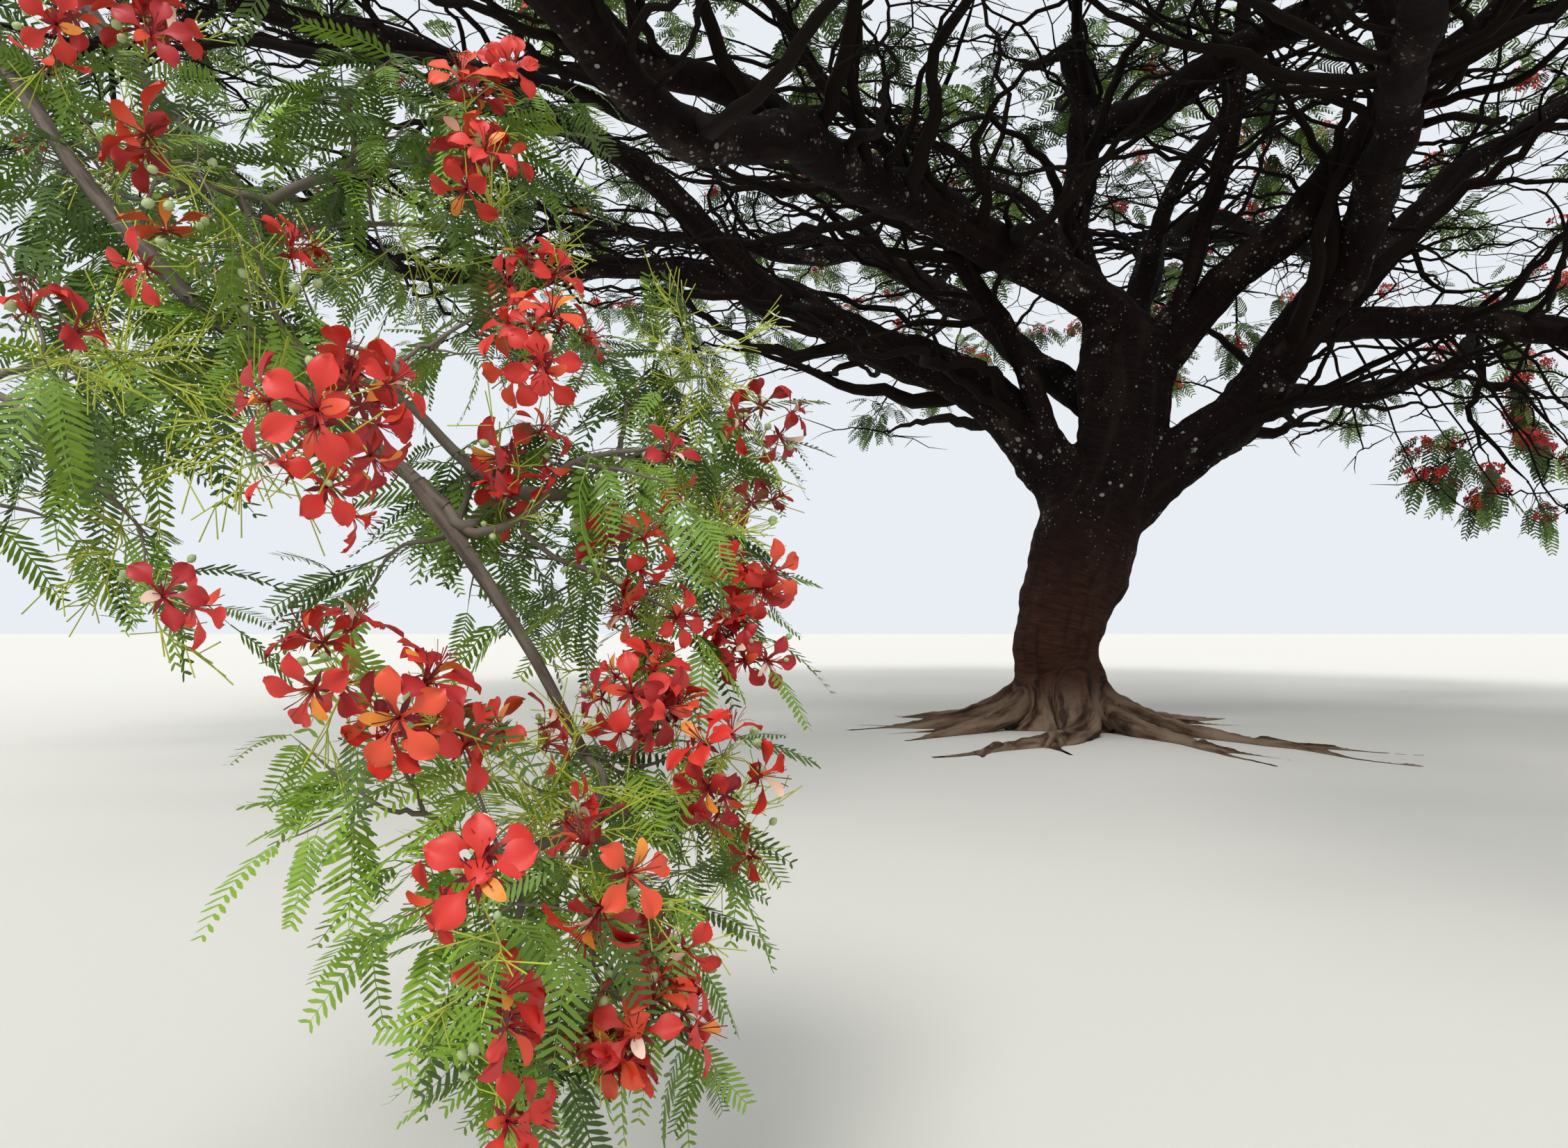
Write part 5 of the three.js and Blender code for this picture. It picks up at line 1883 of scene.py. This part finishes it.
@lru_cache(maxsize=None)
def near_growth():
    """Strands of the near boughs, and the (item, root) pairs that they carry."""
    settings = bpy.context.scene.flame_foliage
    wood, masses = whole_tree()
    rng = np.random.default_rng(settings.seed + 4)
    bearing = [wood[limb.name] for limb in LIMBS if limb.mass in NEAR_MASSES]
    seeds = np.array([cell_seed(grown) for grown in bearing])
    shares = [[] for _ in bearing]
    for item in near_items(rng):
        shares[int(np.argmin(np.linalg.norm(seeds - item.point, axis=1)))].append(item)
    strands, carried = [], []
    for grown, items in zip(bearing, shares):
        coarse, sprays = masses[grown.limb.mass]
        strands += coarse
        for spray in sprays:
            middle = spray.root + spray.along * spray.length * NEAR_STEM
            strands.append(Strand([spray.root, middle], [NEAR_TWIG, NEAR_TWIG]))
            for turn in NEAR_TURNS:
                root = spray.root + spray.along * spray.length * abs(turn)
                point = spray.root + spray.along * spray.length * NEAR_OUT
                point = point + spray.side * turn * spray.length
                carried.append((Item(point, "leaf", 1), root))
        stem = min(grown.limb.tip * STEM_FIT, NEAR_TWIG * len(items) ** PIPE_POWER)
        tip = grown.axis[-1]
        foot = tip + end_way(grown.axis) * NEAR_FOOT
        found = []
        grow_twigs(Strand([tip, foot], [stem, stem]), items, NEAR_TWIG, found, NEAR_TWIG_ITEMS)
        strands += found
        for strand in found:
            carried += strand.leaves
            for item, root in strand.leaves:
                if item.kind != "leaf":
                    strands.append(Strand([root, stalk_foot(item, root)], [NEAR_TWIG, NEAR_TWIG]))
    return strands, carried


def stalk_foot(item, root):
    """Where the green stalks of a cluster leave their twig."""
    way = root - item.point
    return item.point + unit(way) * min(STALK_FOOT, 0.5 * np.linalg.norm(way))


def turned_back(way, root):
    """Way of a near leaf, mirrored where it would reach to the right into a bare part."""
    column, row, _ = seen_place(root)
    for first, last, top in LEAVES_TURNED:
        if first < column < last and row > top and way[0] > 0:
            return way * [-1, 1, 1]
    return way


def near_twigs(settings):
    """Grey-brown twigs of the near boughs."""
    strands, _ = near_growth()
    rng = np.random.default_rng(settings.seed + 5)
    heap = Heap()
    for strand in strands:
        line, thick = wandering_line(strand.points, strand.radii, NEAR_STEPS, NEAR_SWAY, rng)
        thick = thick * YOUNG_GIRTH
        thick[-1] *= NEAR_TIP
        heap.add_tube(line, thick, NEAR_SIDES[0] if thick[0] > NEAR_ROUND else NEAR_SIDES[1])
    # Smooth young bark is a dull grey-brown
    heap.piece("near_twigs", "twig", [plain("young twig bark", "#6d6255", 0.75)])


def near_leaves(settings):
    """Leaves of the near boughs, light green low at the left where they are young."""
    _, carried = near_growth()
    rng = np.random.default_rng(settings.seed + 6)
    # Leaflets are soft and a little smoother than the crown's, yellow-green while they are young
    main_green = bpy.context.scene.flame_colours.near_leaf
    greens = [plain("near leaf", main_green, 0.6), plain("young near leaf", "#7d9e2a", 0.6),
              plain("near leaf in shade", "#465f20", 0.6)]
    leaves = []
    for item, root in carried:
        if item.kind == "leaf":
            way = turned_back(leaf_way(item.point - root, NEAR_DROOP, rng), root)
            leaves.append(Leaf(root, way, ranged(NEAR_LENGTH, rng.random())))
    x, _, z = np.array([leaf.place for leaf in leaves]).T
    young = (z < YOUNG_UNDER) & (x < YOUNG_LEFT_OF)
    tints = np.where(young, 1, rng.choice(len(greens), size=len(leaves), p=NEAR_GREEN_SHARES))
    heap = Heap()
    add_leaves(heap, leaves, leaf_shapes(NEAR_LEAF, rng), tints, rng)
    heap.piece("near_leaves", "young_foliage", greens, NEAR_MASSES)


def add_stalk(heap, start, end, radius, rng):
    """Thin three-sided stalk with one bend."""
    middle = (start + end) / 2 + rng.normal(size=3) * STALK_BEND * np.linalg.norm(end - start)
    heap.add_tube(np.array([start, middle, end]), radius * np.array(STALK_THINS), 3)


def add_raceme(stalks, foot, way, length, rng):
    """Bare flower stalk: a bent axis with stalklets along its outer part."""
    tip = foot + way * length
    bend = foot + way * length * RACEME_MIDDLE + rng.normal(size=3) * RACEME_BEND * length
    line, radii = smooth_line(np.array([foot, bend, tip]), np.array(RACEME_RADII), 3)
    stalks.add_tube(line, radii, 3)
    for share in np.linspace(STALKLETS_FROM, 1, STALKLETS):
        start = line[round(share * (len(line) - 1))]
        turned_way = unit(way + rng.normal(size=3) * STALKLET_TURN)
        end = start + turned_way * ranged(STALKLET_LENGTH, rng.random())
        stalks.add_tube(np.array([start, end]), np.array(STALKLET_RADII), 3)


def add_cluster(flowers, stalks, buds, item, foot, shapes, bud, rng):
    """Open flowers round one point, each on a stalk of its own, with buds between them."""
    reach = ranged(CLUSTER_REACH, item.amount)
    out = scattered_ways(item.amount, BLOOM_LEAN, rng)
    centres = item.point + out * reach * ranged(CLUSTER_DEPTHS, rng.random((item.amount, 1)))
    frames = facing_frames(out, 2 * math.pi * rng.random(item.amount))
    pick = rng.integers(len(shapes), size=item.amount)
    tints = petal_tints(item.amount, rng)
    for k in range(item.amount):
        size = np.array([ranged(NEAR_FLOWER, rng.random())])
        flowers.add_copies(shapes[pick[k]], centres[k:k + 1], frames[k:k + 1], size, tints[k:k + 1])
        add_stalk(stalks, foot, centres[k], FLOWER_STALK, rng)
    ends = foot + scattered_ways(BUDS, BUD_LEAN, rng) * BUD_REACH
    for end in ends:
        add_stalk(stalks, foot, end, BUD_STALK, rng)
    bud_frames = frames_towards(ends - foot, np.zeros(BUDS))
    buds.add_copies(bud, ends, bud_frames, ranged(BUD_LENGTH, rng.random(BUDS)))


def near_blossom(settings):
    """Open flowers, buds and green stalks of the near boughs."""
    _, carried = near_growth()
    rng = np.random.default_rng(settings.seed + 7)
    flowers, stalks, buds = Heap(), Heap(), Heap()
    shapes = [open_flower(rng) for _ in range(NEAR_SHAPES)]
    bud = small_bud()
    for item, root in carried:
        if item.kind == "leaf":
            continue
        foot = stalk_foot(item, root)
        if item.kind == "bloom":
            add_cluster(flowers, stalks, buds, item, foot, shapes, bud, rng)
            add_raceme(stalks, foot, scattered_ways(1, BLOOM_STALK_LEAN, rng)[0], BLOOM_RACEME, rng)
        else:
            for way in scattered_ways(RACEMES_EACH * item.amount, STALK_LEAN, rng):
                add_raceme(stalks, foot, way, ranged(BARE_RACEME, rng.random()), rng)
    flowers.piece("near_flowers", "petal", petal_materials())
    # Green stalks and buds have a smooth skin with a soft shine
    stalks.piece("near_stalks", "green_stalk", [plain("yellow-green flower stalk", "#aeb83c", 0.5)])
    buds.piece("near_buds", "bud", [plain("pale green bud", "#a3b57c", 0.45)])


# Stage

def stage(settings):
    """Pale floor, soft light and the camera at the photograph's angle."""
    scene = bpy.context.scene
    bpy.ops.mesh.primitive_plane_add(size=settings.floor, location=(0, 0, 0))
    floor = bpy.context.object
    floor.name = "floor"
    floor.data.materials.append(plain("pale studio floor", "#d9d5cc", 0.9))
    world = bpy.data.worlds.new("pale studio")
    world.use_nodes = True
    back = world.node_tree.nodes["Background"]
    back.inputs["Color"].default_value = linear("#e9eef4")
    back.inputs["Strength"].default_value = settings.ambient
    scene.world = world
    sun = bpy.data.lights.new("soft light", "SUN")
    sun.energy = settings.light
    sun.angle = math.radians(25)
    lamp = bpy.data.objects.new("soft light", sun)
    lamp.rotation_euler = (math.radians(38), math.radians(12), math.radians(-30))
    scene.collection.objects.link(lamp)
    camera = bpy.data.cameras.new("camera")
    camera.sensor_width = SENSOR
    camera.lens = FOCAL_PIXELS * SENSOR / PHOTO_WIDTH
    camera.clip_start = 0.05
    camera.clip_end = 300
    view = bpy.data.objects.new("camera", camera)
    view.location = CAMERA_PLACE
    view.rotation_euler = (math.pi / 2 + CAMERA_PITCH, 0, 0)
    scene.collection.objects.link(view)
    scene.camera = view
    scene.view_settings.view_transform = "Standard"


# Add-on

class FlameBark(bpy.types.PropertyGroup):
    skin: bpy.props.FloatProperty(
        name="Skin", description="Voxel size of the fused bark", default=0.041, unit="LENGTH")
    relax: bpy.props.IntProperty(
        name="Relax", description="Smoothing steps after the fusing", default=4)
    blend: bpy.props.IntProperty(
        name="Blend", description="Steps that even out the bark's grain where limbs meet", default=12)


class FlameFoliage(bpy.types.PropertyGroup):
    seed: bpy.props.IntProperty(
        name="Seed", description="Start of the random draws", default=5)
    tips: bpy.props.IntProperty(
        name="Tips", description="Fine twig tips in one spray of the solids", default=32)
    fine_twig: bpy.props.FloatProperty(
        name="Fine twig", description="Radius of the finest crown twigs", default=0.0052, unit="LENGTH")
    leaf: bpy.props.FloatProperty(
        name="Leaf", description="Length of a crown leaf", default=0.46, unit="LENGTH")
    side_spacing: bpy.props.FloatProperty(
        name="Side spacing", description="Mean distance between side boughs along a limb",
        default=0.22, unit="LENGTH")
    side_length: bpy.props.FloatProperty(
        name="Side length", description="Length of a middling side bough", default=2.6, unit="LENGTH")
    side_tips: bpy.props.IntProperty(
        name="Side tips", description="Fine twig tips on a middling side bough", default=12)
    side_leaves: bpy.props.FloatProperty(
        name="Side leaves", description="Share of those tips that bear a leaf", default=0.3,
        subtype="FACTOR")
    clusters: bpy.props.IntProperty(
        name="Clusters", description="Clusters of blossom in the crown", default=410)


class FlameColours(bpy.types.PropertyGroup):
    petal: bpy.props.FloatVectorProperty(
        name="Petal", description="Red of most petals", size=4, subtype="COLOR",
        default=linear("#cb2d20"))
    # The crown's main green is darkened as painted shade under the crown
    leaf: bpy.props.FloatVectorProperty(
        name="Leaf", description="Main green of the crown", size=4, subtype="COLOR",
        default=linear("#536f2f"))
    near_leaf: bpy.props.FloatVectorProperty(
        name="Near leaf", description="Main green of the near boughs", size=4, subtype="COLOR",
        default=linear("#678624"))


class FlameStage(bpy.types.PropertyGroup):
    floor: bpy.props.FloatProperty(
        name="Floor", description="Side of the floor", default=160, unit="LENGTH")
    ambient: bpy.props.FloatProperty(
        name="Ambient", description="Strength of the light from all round", default=1.0)
    light: bpy.props.FloatProperty(
        name="Light", description="Strength of the soft sun", default=2.2)


class FLAMETREE_OT_bark(bpy.types.Operator):
    """Grow the bark of the trunk, roots and boughs"""
    bl_idname = "flametree.bark"
    bl_label = "Bark"

    def execute(self, context):
        fused_bark(context.scene.flame_bark)
        bough_bark()
        return {"FINISHED"}


class FLAMETREE_OT_twigs(bpy.types.Operator):
    """Grow the crown's twigs"""
    bl_idname = "flametree.twigs"
    bl_label = "Twigs"

    def execute(self, context):
        crown_twigs(context.scene.flame_foliage)
        return {"FINISHED"}


class FLAMETREE_OT_leaves(bpy.types.Operator):
    """Grow the crown's leaves"""
    bl_idname = "flametree.leaves"
    bl_label = "Leaves"

    def execute(self, context):
        crown_leaves(context.scene.flame_foliage)
        return {"FINISHED"}


class FLAMETREE_OT_blossom(bpy.types.Operator):
    """Set the crown's blossom"""
    bl_idname = "flametree.blossom"
    bl_label = "Blossom"

    def execute(self, context):
        crown_blossom(context.scene.flame_foliage)
        return {"FINISHED"}


class FLAMETREE_OT_near_boughs(bpy.types.Operator):
    """Grow the near boughs' twigs, leaves and flowers"""
    bl_idname = "flametree.near_boughs"
    bl_label = "Near boughs"

    def execute(self, context):
        settings = context.scene.flame_foliage
        near_twigs(settings)
        near_leaves(settings)
        near_blossom(settings)
        return {"FINISHED"}


class FLAMETREE_OT_stage(bpy.types.Operator):
    """Set the floor, light and camera"""
    bl_idname = "flametree.stage"
    bl_label = "Stage"

    def execute(self, context):
        stage(context.scene.flame_stage)
        return {"FINISHED"}


class FLAMETREE_PT_panel(bpy.types.Panel):
    """Steps that build the tree, in their order"""
    bl_idname = "FLAMETREE_PT_panel"
    bl_label = "Flame tree"
    bl_space_type = "VIEW_3D"
    bl_region_type = "UI"
    bl_category = "Flame tree"

    def draw(self, context):
        for step in STEPS:
            self.layout.operator(step.bl_idname)


STEPS = (FLAMETREE_OT_bark, FLAMETREE_OT_twigs, FLAMETREE_OT_leaves, FLAMETREE_OT_blossom,
         FLAMETREE_OT_near_boughs, FLAMETREE_OT_stage)
GROUPS = {"flame_bark": FlameBark, "flame_foliage": FlameFoliage, "flame_colours": FlameColours,
          "flame_stage": FlameStage}
CLASSES = (*GROUPS.values(), *STEPS, FLAMETREE_PT_panel)


def register():
    for cls in CLASSES:
        bpy.utils.register_class(cls)
    for name, group in GROUPS.items():
        setattr(bpy.types.Scene, name, bpy.props.PointerProperty(type=group))


def unregister():
    for name in GROUPS:
        delattr(bpy.types.Scene, name)
    for cls in reversed(CLASSES):
        bpy.utils.unregister_class(cls)


def main():
    register()
    bpy.ops.flametree.bark()
    bpy.ops.flametree.twigs()
    bpy.ops.flametree.leaves()
    bpy.ops.flametree.blossom()
    bpy.ops.flametree.near_boughs()
    bpy.ops.flametree.stage()


if __name__ == "__main__":
    main()
